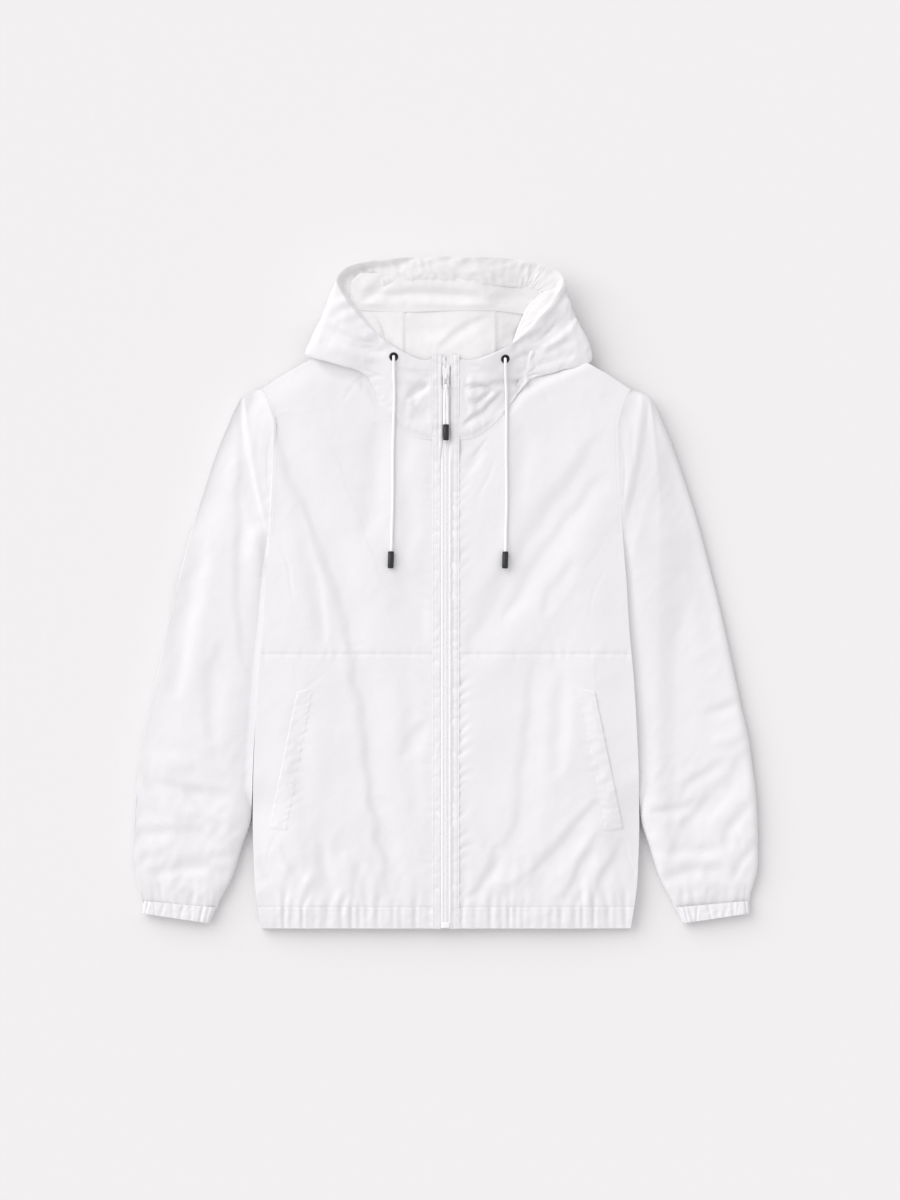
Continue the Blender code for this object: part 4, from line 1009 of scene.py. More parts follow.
HOOD_FOLDS = (
    (8, 1.7, 0.3, (-150, 320), (-126, 311), (-101, 303), (-78, 299)),
    (6, 1.4, -0.3, (-112, 299), (-92, 292), (-70, 287)),
    (6, 1.4, 0.3, (-146, 344), (-138, 332), (-124, 320)),
    (5, -0.9, 0.0, (-137, 358), (-127, 345), (-115, 333)),
    (10, -1.4, 0.0, (-140, 300), (-112, 288), (-88, 278)),
    (9, 4.2, 0.4, (84, 294), (104, 308), (119, 320), (130, 333), (139, 351), (145, 366)),
    (7, 3.6, -0.4, (92, 284), (112, 297), (128, 308), (139, 317), (150, 331), (156, 346)),
    (6, 2.4, 0.4, (76, 276), (95, 284), (113, 290), (130, 294), (150, 303)),
    (6, 1.7, -0.3, (86, 266), (106, 274), (130, 280), (152, 288)),
    (4, 1.5, 0.3, (112, 307), (126, 317), (137, 330)),
    (7, 2.0, 0.5, (-12, 262), (-22, 251), (-33, 238), (-40, 226)),
    (9, 1.5, 0.0, (-62, 258), (-48, 249), (-34, 243)),
    (6, 1.3, 0.4, (-53, 232), (-49, 222), (-46, 208)),
    (9, 1.5, -0.2, (-44, 208), (-30, 212), (-16, 210)),
    (5, 1.0, 0.3, (-66, 268), (-44, 266), (-18, 260)),
    (5, 3.0, 0.5, (21, 203), (32, 211), (44, 218), (56, 231), (66, 243)),
    (5, 3.2, 0.4, (24, 250), (34, 250), (44, 248), (54, 241)),
    (5, 2.8, -0.4, (54, 241), (46, 236), (36, 229), (29, 234)),
    (5, 2.6, 0.3, (50, 249), (62, 252), (74, 254), (94, 256), (112, 262)),
    (5, 2.4, 0.4, (-22, 253), (-30, 246), (-38, 238), (-50, 231)),
    (5, -1.5, 0.0, (30, 262), (31, 244), (32, 226), (26, 212)),
    (7, -1.4, 0.0, (50, 232), (58, 236), (70, 246)),
    (6, 1.2, 0.3, (24, 272), (40, 268), (58, 262)),
)
HOOD_CREASES = (
    (2.8, 2.0, 0.6, (28, 247), (42, 250), (54, 242), (38, 229)),
    (2.8, 1.8, 0.6, (44, 217), (56, 231), (66, 242)),
    (2.6, 1.2, 0.5, (-17, 257), (-26, 247), (-35, 236)),
    (2.6, 1.0, -0.4, (24, 262), (22, 240), (24, 222)),
    (2.6, 1.3, 0.5, (98, 298), (112, 306), (126, 318), (133, 330)),
    (2.4, 1.1, 0.5, (120, 300), (134, 308), (147, 322)),
    (2.4, 0.9, -0.5, (104, 284), (122, 288), (142, 296)),
    (2.4, 0.9, 0.5, (132, 322), (143, 334), (149, 350)),
    (2.6, 0.9, 0.5, (-142, 316), (-122, 310), (-104, 303)),
    (2.4, 0.7, -0.5, (-104, 296), (-86, 291), (-72, 288)),
    (2.4, 0.7, 0.4, (-70, 262), (-62, 250), (-60, 236)),
    (2.4, 0.7, 0.4, (-44, 270), (-30, 268), (-16, 266)),
)


def hood_control(ray, first):
    """x, y, z at this ray number of the HOOD columns that start at first."""
    rays = np.arange(len(HOOD), dtype=float)
    return np.stack([smooth(rays, column(HOOD, first + i), ray) for i in range(3)], -1)


def sunk_right(x):
    """How much lower the hood lies on its right."""
    return HOOD_SINK * eased((x - 30) / 70)


def leaned(points, side, loose=1.0):
    """Mirrors the right half to a side. Where the hood is loose it leans to +X and hangs lower there."""
    x, y, z = np.moveaxis(points, -1, 0)
    raised_part = eased(z / 30) * loose
    lean = HOOD_LEAN * eased((y - 250) / 60) * eased((x - 12) / 40) * raised_part
    droop = HOOD_DROOP * eased((x - 60) / 30) * (1 - eased((y - 280) / 30)) * raised_part
    sink = sunk_right(x) * (1 + side) / 2 * eased((z - 12) / 28) * loose
    return in_metres(side * x + lean, y - side * droop, z - sink)


def hood_surface(ray, v):
    knots = np.stack([hood_control(ray, first) for first in (0, 3, 6, 9)], -2)
    place = v * 3
    i = np.clip(np.floor(place), 0, 2).astype(int)
    t = (place - i)[..., None]

    def knot(number):
        number = np.clip(number, 0, 3)
        return np.take_along_axis(knots, number[..., None, None], -2)[..., 0, :]

    start, end = knot(i), knot(i + 1)
    leave = (end - knot(i - 1)) / 2
    arrive = (knot(i + 2) - start) / 2
    points = (
        start * (1 + 2 * t) * (1 - t) ** 2
        + end * t * t * (3 - 2 * t)
        + t * (1 - t) * (leave * (1 - t) - arrive * t)
    )
    points[..., 2] = np.maximum(points[..., 2], ON_FLOOR)
    return points


def rim_ripple(points, ray):
    """The rim's edge waves a little where the stitched casing has shrunk."""
    x, y = points[..., 0] / MM, points[..., 1] / MM
    return 0.9 * drifting(x, y, 12, 121) * eased((ray - 1.5) / 2)


def creased_hood(points, side, ray, v):
    """Raises the hood's creases out of its plain form."""
    x, y, z = np.moveaxis(points / MM, -1, 0)
    y = y + OUTLINE_MIDDLE
    seen = eased((z - 19) / 8) * eased((1 - v) / 0.06) * eased(v / 0.03)
    bend_x, bend_y = x + 1.4 * drifting(x, y, 20, 101), y + 1.4 * drifting(x, y, 20, 102)
    rise = folded(HOOD_FOLDS, bend_x, bend_y) + folded(HOOD_CREASES, bend_x, bend_y, crisp=True)
    right = eased((x - 60) / 30)
    rise += (0.3 + 0.4 * right) * crumpled(x, y, 15, 103) + 0.5 * drifting(x, y, 34, 104)
    rise += tucks(*beside(np.array(NECKLINE) * (side, 1), x, y), 9, 8, 0.6, 106 + int(side), 0.2)
    rise *= eased((np.abs(x) - PLACKET_OUTER) / 9) * (1 - eased((ray - 8.6) / 0.9))
    wall = 1 - eased((z - 19) / 8)
    rise = rise * seen + 0.8 * crumpled(x, y + z, 16, 108) * wall * eased((z - 3) / 4)
    return raised(points, side * rise)


def hood_side(side):
    def form(s, v):
        ray = s * (CENTRE_RAY - CENTRE_SEAM)
        points = leaned(hood_surface(ray, v), side, eased(v / 0.2))
        points = creased_hood(points, side, ray, v)
        x = points[..., 0] / MM
        y = points[..., 1] / MM + OUTLINE_MIDDLE
        on_front = (1 - eased((v - 0.01) / 0.13)) * (1 - eased((ray - 4.2) / 0.8))
        seam_height = (front_height(x, y) + NECK_LIFT) * MM
        points[..., 2] += (seam_height - points[..., 2]) * on_front
        under_placket = 0.5 * (1 - eased((np.abs(x) - PLACKET_OUTER + 0.5) / 1.5)) * (ray < 2)
        points[..., 2] -= under_placket * (1 - on_front) * MM
        points[..., 2] += rim_ripple(points, ray) * MM * eased((v - 0.75) / 0.25)
        return points

    return form


def hood_centre(s, v):
    t = 2 * s - 1
    last = len(HOOD) - 1
    ray = last - np.abs(t) * (last - CENTRE_RAY - CENTRE_SEAM)
    points = leaned(hood_surface(ray, v), np.where(t < 0, -1.0, 1.0))
    x, y, z = np.moveaxis(points / MM, -1, 0)
    wall = 1 - eased((z - 19) / 8)
    points = raised(points, -0.8 * crumpled(x, y + OUTLINE_MIDDLE + z, 16, 108) * eased((z - 3) / 4) * wall)
    points[..., 2] += rim_ripple(points, ray) * MM * eased((v - 0.75) / 0.25)
    return points


for hand, side in SIDES.items():
    panel = sewn(f"hood_side_{hand}_cloth", hood_side(side), 156, 84, nylon)
centre_panel = sewn("hood_centre_cloth", hood_centre, 36, 60, nylon)


# The drawcord's casing
# A facing of soft white cloth, stitched inside the rim all round to make the channel for the drawcord.
# The cord has drawn it into small uneven crinkles.

CASING_START = 0.06
CASING_STITCH = 0.86
CASING_WIDE = 26.0
CASING_LONG = 900.0
FACING = (0.820, 0.802, 0.810)
FACING_SHADE = (0.794, 0.776, 0.784)

lining_cloth = woven("white_facing", FACING, FACING_SHADE, 0.6)


def casing_form(s, v):
    t = 2 * s - 1
    hand = np.where(t < 0, -1.0, 1.0)
    last = len(HOOD) - 1
    ray = last - (last - CASING_START) * np.abs(t)
    rim = hood_control(ray, 9)
    inner = hood_control(ray, 12)
    points = rim + (inner - rim) * v[..., None]
    side_part = eased((ray - 3) / 2) * eased((10.5 - ray) / 2)
    sunk = (1.0 + 7.5 * (hand < 0)) * side_part
    hollow = sunk * eased(v / 0.3) * (1 - 0.55 * eased((v - 0.3) / 0.7)) - 0.9 * bell((v - 0.5) / 0.3)
    points[..., 2] -= hollow + eased(v / 0.35) * (1 - eased((ray - 3) / 2)) + 1.8 * eased((v - 0.9) / 0.1)
    points = leaned(points, hand)
    ripple = rim_ripple(points, ray) * MM * (1 - eased(v / 0.4))
    along = np.cumsum(np.linalg.norm(np.gradient(rim, axis=1), axis=-1), axis=1)
    down = CASING_WIDE * v
    crinkle = tucks(along, down - CASING_WIDE * CASING_STITCH, CASING_LONG, 8.5, 7, 0.55, 131, 0.25)
    crinkle += tucks(along, down - 9, CASING_LONG, 15, 7, 0.5, 132, -0.3)
    crinkle += 1.5 * crumpled(along, down, 9, 133)
    crinkle -= 0.6 * bell((v - CASING_STITCH) / 0.05)
    at_side = eased((ray - 1.5) / 1.5) * (1 - eased((ray - 7.6) / 1.6))
    full = (eased((ray - 1.2) / 2) * 0.7 + 0.15) * (1 - 0.72 * at_side)
    points[..., 2] += ripple + crinkle * full * eased(v / 0.12) * MM
    return points


casing = sewn("hood_casing_cloth", casing_form, 420, 26, lining_cloth)


# The crown, folded in
# The top of the hood has dropped inside the opening and lies there in two soft layers, lining side up.
# Two sewn seams run over the lower layer.

# y, half width, height
CROWN_LOWER = (
    (258.0, 62.0, 33.5),
    (276.0, 68.0, 36.8),
    (288.0, 76.0, 38.2),
    (300.0, 84.0, 38.2),
    (316.0, 96.0, 37.4),
    (331.0, 108.0, 37.1),
    (352.0, 112.0, 37.3),
)
CROWN_UPPER = (
    (330.0, 112.0, 37.3),
    (337.0, 114.0, 37.8),
    (352.0, 119.0, 39.4),
    (370.0, 119.0, 40.6),
    (392.0, 98.0, 41.6),
)
# x, y
CROWN_EDGE = (
    (-125.0, 343.0),
    (-94.0, 339.6),
    (-50.4, 337.6),
    (0.0, 339.2),
    (50.0, 339.6),
    (96.0, 335.0),
    (125.0, 328.0),
)
CROWN_SEAMS = (-50.4, 60.0)
CROWN_TOP = 384.0
CROWN_HALF = 112.0
CROWN_TURNED = 10.0
CROWN_TURN_RADIUS = 0.55
CROWN_UPPER_FOLDS = (
    (9, 3.0, 0.3, (-96, 362), (-72, 356), (-31, 358), (28, 356), (50, 347)),
    (8, -1.6, 0.0, (-100, 345), (-41, 351), (28, 344), (60, 350)),
    (7, 2.0, -0.3, (-98, 350), (-84, 362), (-64, 376)),
    (9, 1.8, 0.2, (52, 350), (80, 356), (104, 348)),
    (6, 1.4, 0.4, (98, 344), (110, 340), (118, 332)),
)
CROWN_LOWER_FOLDS = (
    (6, 1.7, 0.4, (-6, 296), (10, 310), (28, 322), (48, 331)),
    (7, 1.4, -0.3, (-88, 328), (-74, 318), (-60, 300)),
    (9, 1.2, 0.0, (-44, 324), (-20, 312), (2, 318)),
    (7, 1.5, 0.3, (70, 322), (84, 314), (100, 318)),
    (6, 1.1, 0.0, (64, 300), (76, 306), (90, 304)),
)


def crown_lower(s, v):
    y = CROWN_LOWER[0][0] + (CROWN_LOWER[-1][0] - CROWN_LOWER[0][0]) * v
    x = HOOD_LEAN + (2 * s - 1) * from_table(CROWN_LOWER, 1, y)
    rise = folded(CROWN_LOWER_FOLDS, x, y) + 0.35 * crumpled(x, y, 16, 141) + 0.5 * drifting(x, y, 40, 142)
    seams = sum(1.0 * bell((x - at + 1.6) / 1.9) - 0.9 * bell((x - at - 1.4) / 1.1) for at in CROWN_SEAMS)
    sag = 3.0 * (1 - rounded((1 - np.abs(2 * s - 1)) / 0.4))
    return in_metres(x, y, from_table(CROWN_LOWER, 2, y) + rise + seams - sag - sunk_right(x))


def crown_upper(s, v):
    """The upper layer. Its lower edge is a fold: the cloth turns under there and runs back up beneath."""
    turned, turn_end = 0.12, 0.24
    x_edge = HOOD_LEAN + (2 * s - 1) * CROWN_HALF
    edge = smooth(column(CROWN_EDGE, 0), column(CROWN_EDGE, 1), x_edge)
    angle = np.clip((v - turned) / (turn_end - turned), 0, 1) * math.pi
    tucked_up = edge + (turned - v) / turned * CROWN_TURNED
    y = np.where(v < turned, tucked_up, edge - CROWN_TURN_RADIUS * np.sin(angle))
    y = np.where(v > turn_end, edge + (v - turn_end) / (1 - turn_end) * (CROWN_TOP - edge), y)
    x = HOOD_LEAN + (2 * s - 1) * from_table(CROWN_UPPER, 1, y)
    rise = folded(CROWN_UPPER_FOLDS, x, y) + 0.4 * crumpled(x, y, 15, 143) + 0.5 * drifting(x, y, 38, 144)
    rise *= np.clip((y - edge) / 8, 0.25, 1)
    z = from_table(CROWN_UPPER, 2, y) + rise - CROWN_TURN_RADIUS * (1 + np.cos(angle)) - sunk_right(x)
    return in_metres(x, y, z - 2.0 * (1 - rounded((1 - np.abs(2 * s - 1)) / 0.3)))


crown_node = ("hood_crown_fold",)
crown_under = sewn("hood_crown_lower_layer", crown_lower, 90, 44, lining_cloth, stands_for=crown_node)
crown_over = sewn("hood_crown_upper_layer", crown_upper, 100, 56, lining_cloth, stands_for=crown_node)


# The zip
# A white coil zip from the hem to the top of the collar, on two woven tapes. The tapes part above the slider.
# A small moulded pin and box close its foot.

# y, height of the cloth's middle beside the zip
ZIP_LINE = (
    (-401.4, 15.4),
    (-375.0, 18.8),
    (-340.0, 22.2),
    (-250.0, 26.0),
    (-71.4, 27.5),
    (60.0, 29.0),
    (185.0, 28.0),
    (214.0, 30.65),
    (250.0, 34.95),
    (285.0, 39.45),
)
ZIP_FOOT = -400.0
ZIP_TOP = 284.0
TAPE_DROP = 1.2
TAPE_RISE = 1.5
TAPE_HALF = 12.6
TAPE_WALL = 0.5
CHAIN_HALF = 2.7
CHAIN_TOP = 1.25
ELEMENT_PITCH = 1.5
ELEMENT_LENGTH = 3.6
BOX_SIZE = (8.6, 7.0, 3.2)
SLIDER_TOP = 274.0
SLIDER_BOTTOM = 252.6
ZIP_WHITE = (0.855, 0.84, 0.86)
COATED = (0.84, 0.83, 0.845)


def zip_height(y):
    return from_table(ZIP_LINE, 1, y)


def tape_opening(y):
    """How far each tape's inner edge lies from the middle: together on the chain, parted above the slider."""
    return 0.12 + 1.9 * eased((y - SLIDER_TOP - 3) / 9)


def tape(side):
    def form(s, v):
        y = ZIP_FOOT + (ZIP_TOP - ZIP_FOOT) * v
        inner = tape_opening(y)
        x = inner + (TAPE_HALF - inner) * s
        body = 1 - eased((y - 165) / 20)
        bead = (1.1 if side < 0 else 0.0) * bell((x - 4.2) / 1.1) * body
        groove = -0.25 * bell((x - 6.5) / 0.8) - (0.0 if side < 0 else 0.5) * (1 - body) * eased((x - 2) / 2)
        past_slider = eased((y - SLIDER_TOP + 1) / 3)
        level = 1.1 * past_slider - 1.0 * eased((y - SLIDER_BOTTOM + 4) / 4) * (1 - past_slider)
        level += (1.1 if side < 0 else 0.0) * (1 - body) * (1 - eased((y - SLIDER_BOTTOM + 8) / 5))
        return in_metres(side * x, y, zip_height(y) - TAPE_DROP + TAPE_RISE + bead + groove + level)

    return form


def plain(name, colour, roughness, specular=0.5, metallic=0.0):
    material = bpy.data.materials.new(name)
    material.use_nodes = True
    shader = material.node_tree.nodes["Principled BSDF"]
    shader.inputs["Base Color"].default_value = (*colour, 1.0)
    shader.inputs["Roughness"].default_value = roughness
    shader.inputs["Specular IOR Level"].default_value = specular
    shader.inputs["Metallic"].default_value = metallic
    return material


def grained(material, scale, strength, distance):
    """Adds a fine even grain to the material's surface."""
    tree = material.node_tree
    bumped(tree, noise(tree, scale, 2.0), strength, distance)
    return material


tape_weave = woven("white_zip_tape", ZIP_WHITE, ZIP_WHITE, 0.7, relief=0.04)
coil_white = grained(plain("white_zip_coil", ZIP_WHITE, 0.42), 900, 0.15, 0.0001)
coated_white = grained(plain("white_coated_metal", COATED, 0.3), 500, 0.08, 0.0001)

for hand, side in SIDES.items():
    half_name = f"zip_tape_{hand}_half"
    half_tape = sewn(half_name, tape(side), 22, 110, tape_weave, TAPE_WALL, False, ("zip_tape",))


def copies(obj, count, step):
    """Repeats the selected piece along +Y, each copy a step further on."""
    row = obj.modifiers.new("Row", "ARRAY")
    row.count = count
    row.use_relative_offset = False
    row.use_constant_offset = True
    row.constant_offset_displace = (0.0, step * MM, 0.0)
    bpy.ops.object.modifier_apply(modifier="Row")


def settle(obj, move):
    """Moves every point of the piece. move takes and gives x, y and z in the tables' millimetres."""
    flat = np.empty(len(obj.data.vertices) * 3)
    obj.data.vertices.foreach_get("co", flat)
    points = flat.reshape(-1, 3) / MM
    x, y, z = move(points[:, 0], points[:, 1] + OUTLINE_MIDDLE, points[:, 2])
    obj.data.vertices.foreach_set("co", in_metres(x, y, z).ravel())
    obj.data.update()


def placed(obj, middle, size, turn=(0.0, 0.0, 0.0)):
    """Gives a new primitive its size, turn and place, in millimetres, and applies them."""
    obj.scale = Vector(size) * MM
    obj.rotation_euler = turn
    obj.location = Vector((middle[0], middle[1] - OUTLINE_MIDDLE, middle[2])) * MM
    bpy.ops.object.transform_apply(location=True, rotation=True, scale=True)
    return obj


def bevel_all(offset, segments):
    """Bevels every edge of the active piece."""
    bpy.ops.object.mode_set(mode="EDIT")
    bpy.ops.mesh.select_all(action="SELECT")
    bpy.ops.mesh.bevel(offset=offset * MM, offset_type="OFFSET", segments=segments, affect="EDGES")
    bpy.ops.object.mode_set(mode="OBJECT")


def coil(name, side, start, end, height):
    """One side's coil: round turns of a white thread, each a short bar that crosses the middle."""
    bpy.ops.object.select_all(action="DESELECT")
    bpy.ops.mesh.primitive_cylinder_add(vertices=6, radius=0.5, depth=1.0)
    turn = bpy.context.object
    middle_x = side * (CHAIN_HALF - ELEMENT_LENGTH / 2)
    placed(turn, (middle_x, start, 0.0), (1.3, 1.16, ELEMENT_LENGTH), (0.0, math.pi / 2, 0.0))
    bevel_all(0.22, 1)
    turn.data.shade_smooth()
    copies(turn, int((end - start) / ELEMENT_PITCH), ELEMENT_PITCH)
    settle(turn, lambda x, y, z: (x, y, z + zip_height(y) + height - 0.72))
    return done(turn, name, coil_white, stands_for=("zip_chain",))


coil("zip_coil_left", -1.0, ZIP_FOOT + 8.0, SLIDER_BOTTOM + 2.0, CHAIN_TOP)
coil("zip_coil_right", 1.0, ZIP_FOOT + 8.0 + ELEMENT_PITCH / 2, SLIDER_BOTTOM + 2.0, CHAIN_TOP)

bpy.ops.object.select_all(action="DESELECT")
bpy.ops.mesh.primitive_cube_add(size=1)
foot = bpy.context.object
foot_y = ZIP_FOOT + BOX_SIZE[1] / 2
placed(foot, (0.0, foot_y, float(zip_height(foot_y)) - TAPE_DROP + BOX_SIZE[2] / 2 + 0.9), BOX_SIZE)
bevel_all(0.9, 3)
foot.data.shade_smooth()
done(foot, "zip_pin_and_box", coil_white, stands_for=("zip_box",))


# The plackets
# Beside the zip the edge of each front is folded back and stitched down as a strip, from the hem to the
# collar's top. The stitches have puckered it all the way. The right one rolls over the edge of its tape.

# y, inner edge on the left, inner edge on the right
PLACKET_EDGES = (
    (-401.4, 6.6, 3.2),
    (160.0, 6.6, 3.2),
    (186.0, 4.0, 5.4),
    (242.0, 4.0, 5.4),
    (252.0, 5.2, 6.2),
    (286.0, 5.0, 6.0),
)
PLACKET_WALL = 0.8
PLACKET_TOP = 286.0
PLACKET_ROWS = (9.2, 14.2)


def placket(side):
    def form(s, v):
        y = HEM_BOTTOM + 0.6 + (PLACKET_TOP - HEM_BOTTOM - 0.6) * v
        inner = from_table(PLACKET_EDGES, 1 if side < 0 else 2, y)
        x = inner + (PLACKET_OUTER + 0.4 - inner) * s
        from_inner = x - inner
        from_outer = PLACKET_OUTER + 0.4 - x
        collar = eased((y - 150) / 30)
        base = zip_height(y) + 1.55 * collar + 0.3 + PLACKET_WALL / 2
        roll = (0.4 if side < 0 else 1.0 - 0.7 * collar) * bell((from_inner - 2.0) / 1.7)
        roll = roll - (0.0 if side < 0 else 1.2) * collar * (1 - eased(from_inner / 5.5))
        edge = -1.3 * (1 - rounded(from_inner / 1.3)) - 0.35 * (1 - rounded(from_outer / 1.0))
        rows = -0.34 * bell((x - PLACKET_ROWS[1]) / 0.8) - 0.34 * bell((x - PLACKET_ROWS[0]) / 0.8)
        puckers = tucks(y + ABOVE_FOOT, x - 12, ZIP_LONG, 10.5, 7, 0.42, 151 + int(side), 0.2)
        puckers += tucks(y + ABOVE_FOOT, x - 7, ZIP_LONG, 14, 5, 0.3, 153 + int(side), -0.2)
        bumps = 0.25 * drifting(x, y, 20, 155) + 0.18 * crumpled(x, y, 9, 156)
        return in_metres(side * x, y, base + roll + edge + rows + (puckers + bumps) * eased(from_inner / 2))

    return form


for hand, side in SIDES.items():
    strip = sewn(f"placket_{hand}_cloth", placket(side), 26, 330, nylon, PLACKET_WALL)


# The pocket welts
# Each slanted pocket has a welt of folded nylon. Its inner edge and both ends are stitched to the front,
# and its outer edge is the pocket's mouth.

WELT_WALL = 0.8
WELT_WIDE = 22.0
WELT_LONG = 172.0
WELT_ROW = 0.09


def welt(side):
    def form(s, v):
        inner, outer = along_line(WELT_INNER, v), along_line(WELT_OPENING, v)
        at = inner + (outer - inner) * s[..., None]
        x, y = side * at[..., 0], at[..., 1]
        ends = eased(np.minimum(v, 1 - v) / 0.03)
        lift = -0.45 + (0.35 + 0.45 * eased(s / 0.12) + (0.3 if side < 0 else 1.1) * eased(s * 1.3)) * ends
        fold = -1.0 * (1 - rounded((1 - s) / 0.05))
        rows = -0.3 * bell((s - WELT_ROW) / 0.035)
        along = v * WELT_LONG
        puckers = tucks(along, (s - WELT_ROW) * WELT_WIDE, WELT_LONG, 9, 7, 0.4, 161 + int(side), 0.3)
        puckers += tucks(along, (s - 0.9) * WELT_WIDE, WELT_LONG, 13, 6, 0.3, 163 + int(side))
        puckers += 0.3 * crumpled(x, y, 14, 165)
        return in_metres(x, y, front_height(x, y) + lift + fold + rows + puckers * ends)

    return form


for hand, side in SIDES.items():
    pocket = sewn(f"pocket_welt_{hand}_cloth", welt(side), 30, 110, nylon, WELT_WALL)


# The slider and its pull
# A white coated slider with a bridge. A slotted tab hinges on the bridge, and a doubled white cord is looped
# through the tab and moulded into a black rubber tip.

SLIDER_WIDTH = 9.0
SLIDER_HEIGHT = 3.6
BRIDGE_LENGTH = 8.4
BRIDGE_WIDTH = 2.0
BRIDGE_RISE = 4.4
BRIDGE_BAR = 1.2
BRIDGE_PLACE = -3.2
TAB_WIDTH = 6.6
TAB_THICK = 1.3
TAB_LENGTH = 15.0
TAB_SLOT = (3.4, 9.6)
TAB_BAR = 1.4
PULL_TIP = (7.4, 19.2)
PULL_TIP_TOP = 203.4
LAY_GAP = 0.35
TAPE_SOLID_MIDDLE = -1.35
RUBBER = (0.024, 0.024, 0.027)
CORD_WHITE = (0.90, 0.89, 0.90)

low, high = float(zip_height(SLIDER_BOTTOM)), float(zip_height(SLIDER_TOP))
slope = math.atan2(high - low, SLIDER_TOP - SLIDER_BOTTOM)
base_z = (low + high) / 2 + TAPE_SOLID_MIDDLE + 2 * LAY_GAP
slider_base = Matrix.Translation(Vector((0, (SLIDER_TOP + SLIDER_BOTTOM) / 2 - OUTLINE_MIDDLE, base_z)) * MM)
slider_base = slider_base @ Matrix.Rotation(slope, 4, "X")
opening = BRIDGE_RISE - BRIDGE_BAR
hinge = slider_base @ Matrix.Translation(Vector((0, BRIDGE_PLACE, SLIDER_HEIGHT + opening / 2)) * MM)


def rounded_edges(obj, width, segments, sharpest=30.0):
    """Rounds the piece's edges that turn by more than the angle in degrees."""
    rounding = obj.modifiers.new("Edges", "BEVEL")
    rounding.width = width * MM
    rounding.segments = segments
    rounding.limit_method = "ANGLE"
    rounding.angle_limit = math.radians(sharpest)
    bpy.ops.object.modifier_apply(modifier="Edges")


def hollowed_frame(outer, inner, corner, thick):
    """A flat frame: a rounded oblong with a rounded slot, as thick as given. Sizes are in millimetres."""
    bpy.ops.object.select_all(action="DESELECT")
    bpy.ops.mesh.primitive_circle_add(vertices=32, radius=1.0)
    obj = bpy.context.object
    bpy.ops.object.mode_set(mode="EDIT")
    bpy.ops.mesh.primitive_circle_add(vertices=32, radius=0.5)
    bpy.ops.mesh.select_all(action="SELECT")
    bpy.ops.mesh.bridge_edge_loops()
    bpy.ops.object.mode_set(mode="OBJECT")
    for vertex in obj.data.vertices:
        round_x, round_y = vertex.co.xy
        radius = math.hypot(round_x, round_y)
        half_x, half_y, middle = (*outer, 0.0) if radius > 0.75 else inner
        power = 2 / corner
        away_x, away_y = round_x / radius, round_y / radius
        scale = (abs(away_x) ** power + abs(away_y) ** power) ** (-1 / power)
        vertex.co = (half_x * away_x * scale * MM, (half_y * away_y * scale + middle) * MM, -thick / 2 * MM)
    wall = obj.modifiers.new("Wall", "SOLIDIFY")
    wall.thickness = thick * MM
    wall.offset = 0.0
    bpy.ops.object.modifier_apply(modifier="Wall")
    for vertex in obj.data.vertices:
        vertex.co.z += thick / 2 * MM
    rounded_edges(obj, 0.3, 2)
    obj.data.shade_smooth()
    return obj


bpy.ops.object.select_all(action="DESELECT")
bpy.ops.mesh.primitive_cube_add(size=1)
slider = bpy.context.object
bpy.ops.object.mode_set(mode="EDIT")
bpy.ops.mesh.select_all(action="SELECT")
bpy.ops.mesh.subdivide(number_cuts=7)
bpy.ops.object.mode_set(mode="OBJECT")
for vertex in slider.data.vertices:
    x, y, z = vertex.co
    shoulder = 0.80 + 0.20 * float(eased((y + 0.35) / 0.5))
    notch = 0.14 * max(0.0, 1 - abs(x) / 0.22) * max(0.0, (y - 0.2) / 0.3)
    dome = 0.10 * (1 - 4 * x * x) if z > 0 else 0.0
    vertex.co = (
        x * shoulder * SLIDER_WIDTH * MM,
        (y - notch) * (SLIDER_TOP - SLIDER_BOTTOM) * MM,
        ((z + 0.5) * (0.92 + dome)) * SLIDER_HEIGHT * MM,
    )
rounded_edges(slider, 0.8, 3)
slider.data.transform(slider_base)
slider.data.shade_smooth()
done(slider, "zip_slider_body", coated_white, stands_for=("zip_slider",))

bpy.ops.object.select_all(action="DESELECT")
bpy.ops.mesh.primitive_torus_add(
    major_segments=32,
    minor_segments=10,
    major_radius=BRIDGE_LENGTH / 2 - BRIDGE_BAR / 2,
    minor_radius=BRIDGE_BAR / 2,
)
bridge = bpy.context.object
bpy.ops.object.mode_set(mode="EDIT")
bpy.ops.mesh.select_all(action="SELECT")
bpy.ops.mesh.bisect(plane_co=(0, -0.6, 0), plane_no=(0, -1, 0), use_fill=True, clear_outer=True)
bpy.ops.object.mode_set(mode="OBJECT")
bridge.data.transform(Matrix.Rotation(math.pi / 2, 4, "Z") @ Matrix.Rotation(math.pi / 2, 4, "X"))
stretch = Matrix.Diagonal((BRIDGE_WIDTH / BRIDGE_BAR, 1.0, BRIDGE_RISE / (BRIDGE_LENGTH / 2), 1.0))
seat = Matrix.Translation(Vector((0, BRIDGE_PLACE, SLIDER_HEIGHT)) * MM)
bridge.data.transform(slider_base @ seat @ Matrix.Scale(MM, 4) @ stretch)
bridge.data.shade_smooth()
done(bridge, "zip_slider_bridge", coated_white, stands_for=("zip_slider",))

tab = hollowed_frame(
    (TAB_WIDTH / 2, TAB_LENGTH / 2),
    (TAB_SLOT[0] / 2, TAB_SLOT[1] / 2, (TAB_LENGTH - TAB_SLOT[1]) / 2 - TAB_BAR),
    0.5,
    TAB_THICK,
)
tab.data.transform(hinge @ Matrix.Translation(Vector((0, (TAB_BAR - TAB_LENGTH) / 2, 0)) * MM))
done(tab, "zip_pull_tab", coated_white, "zip_pull", ("pull_tab",))


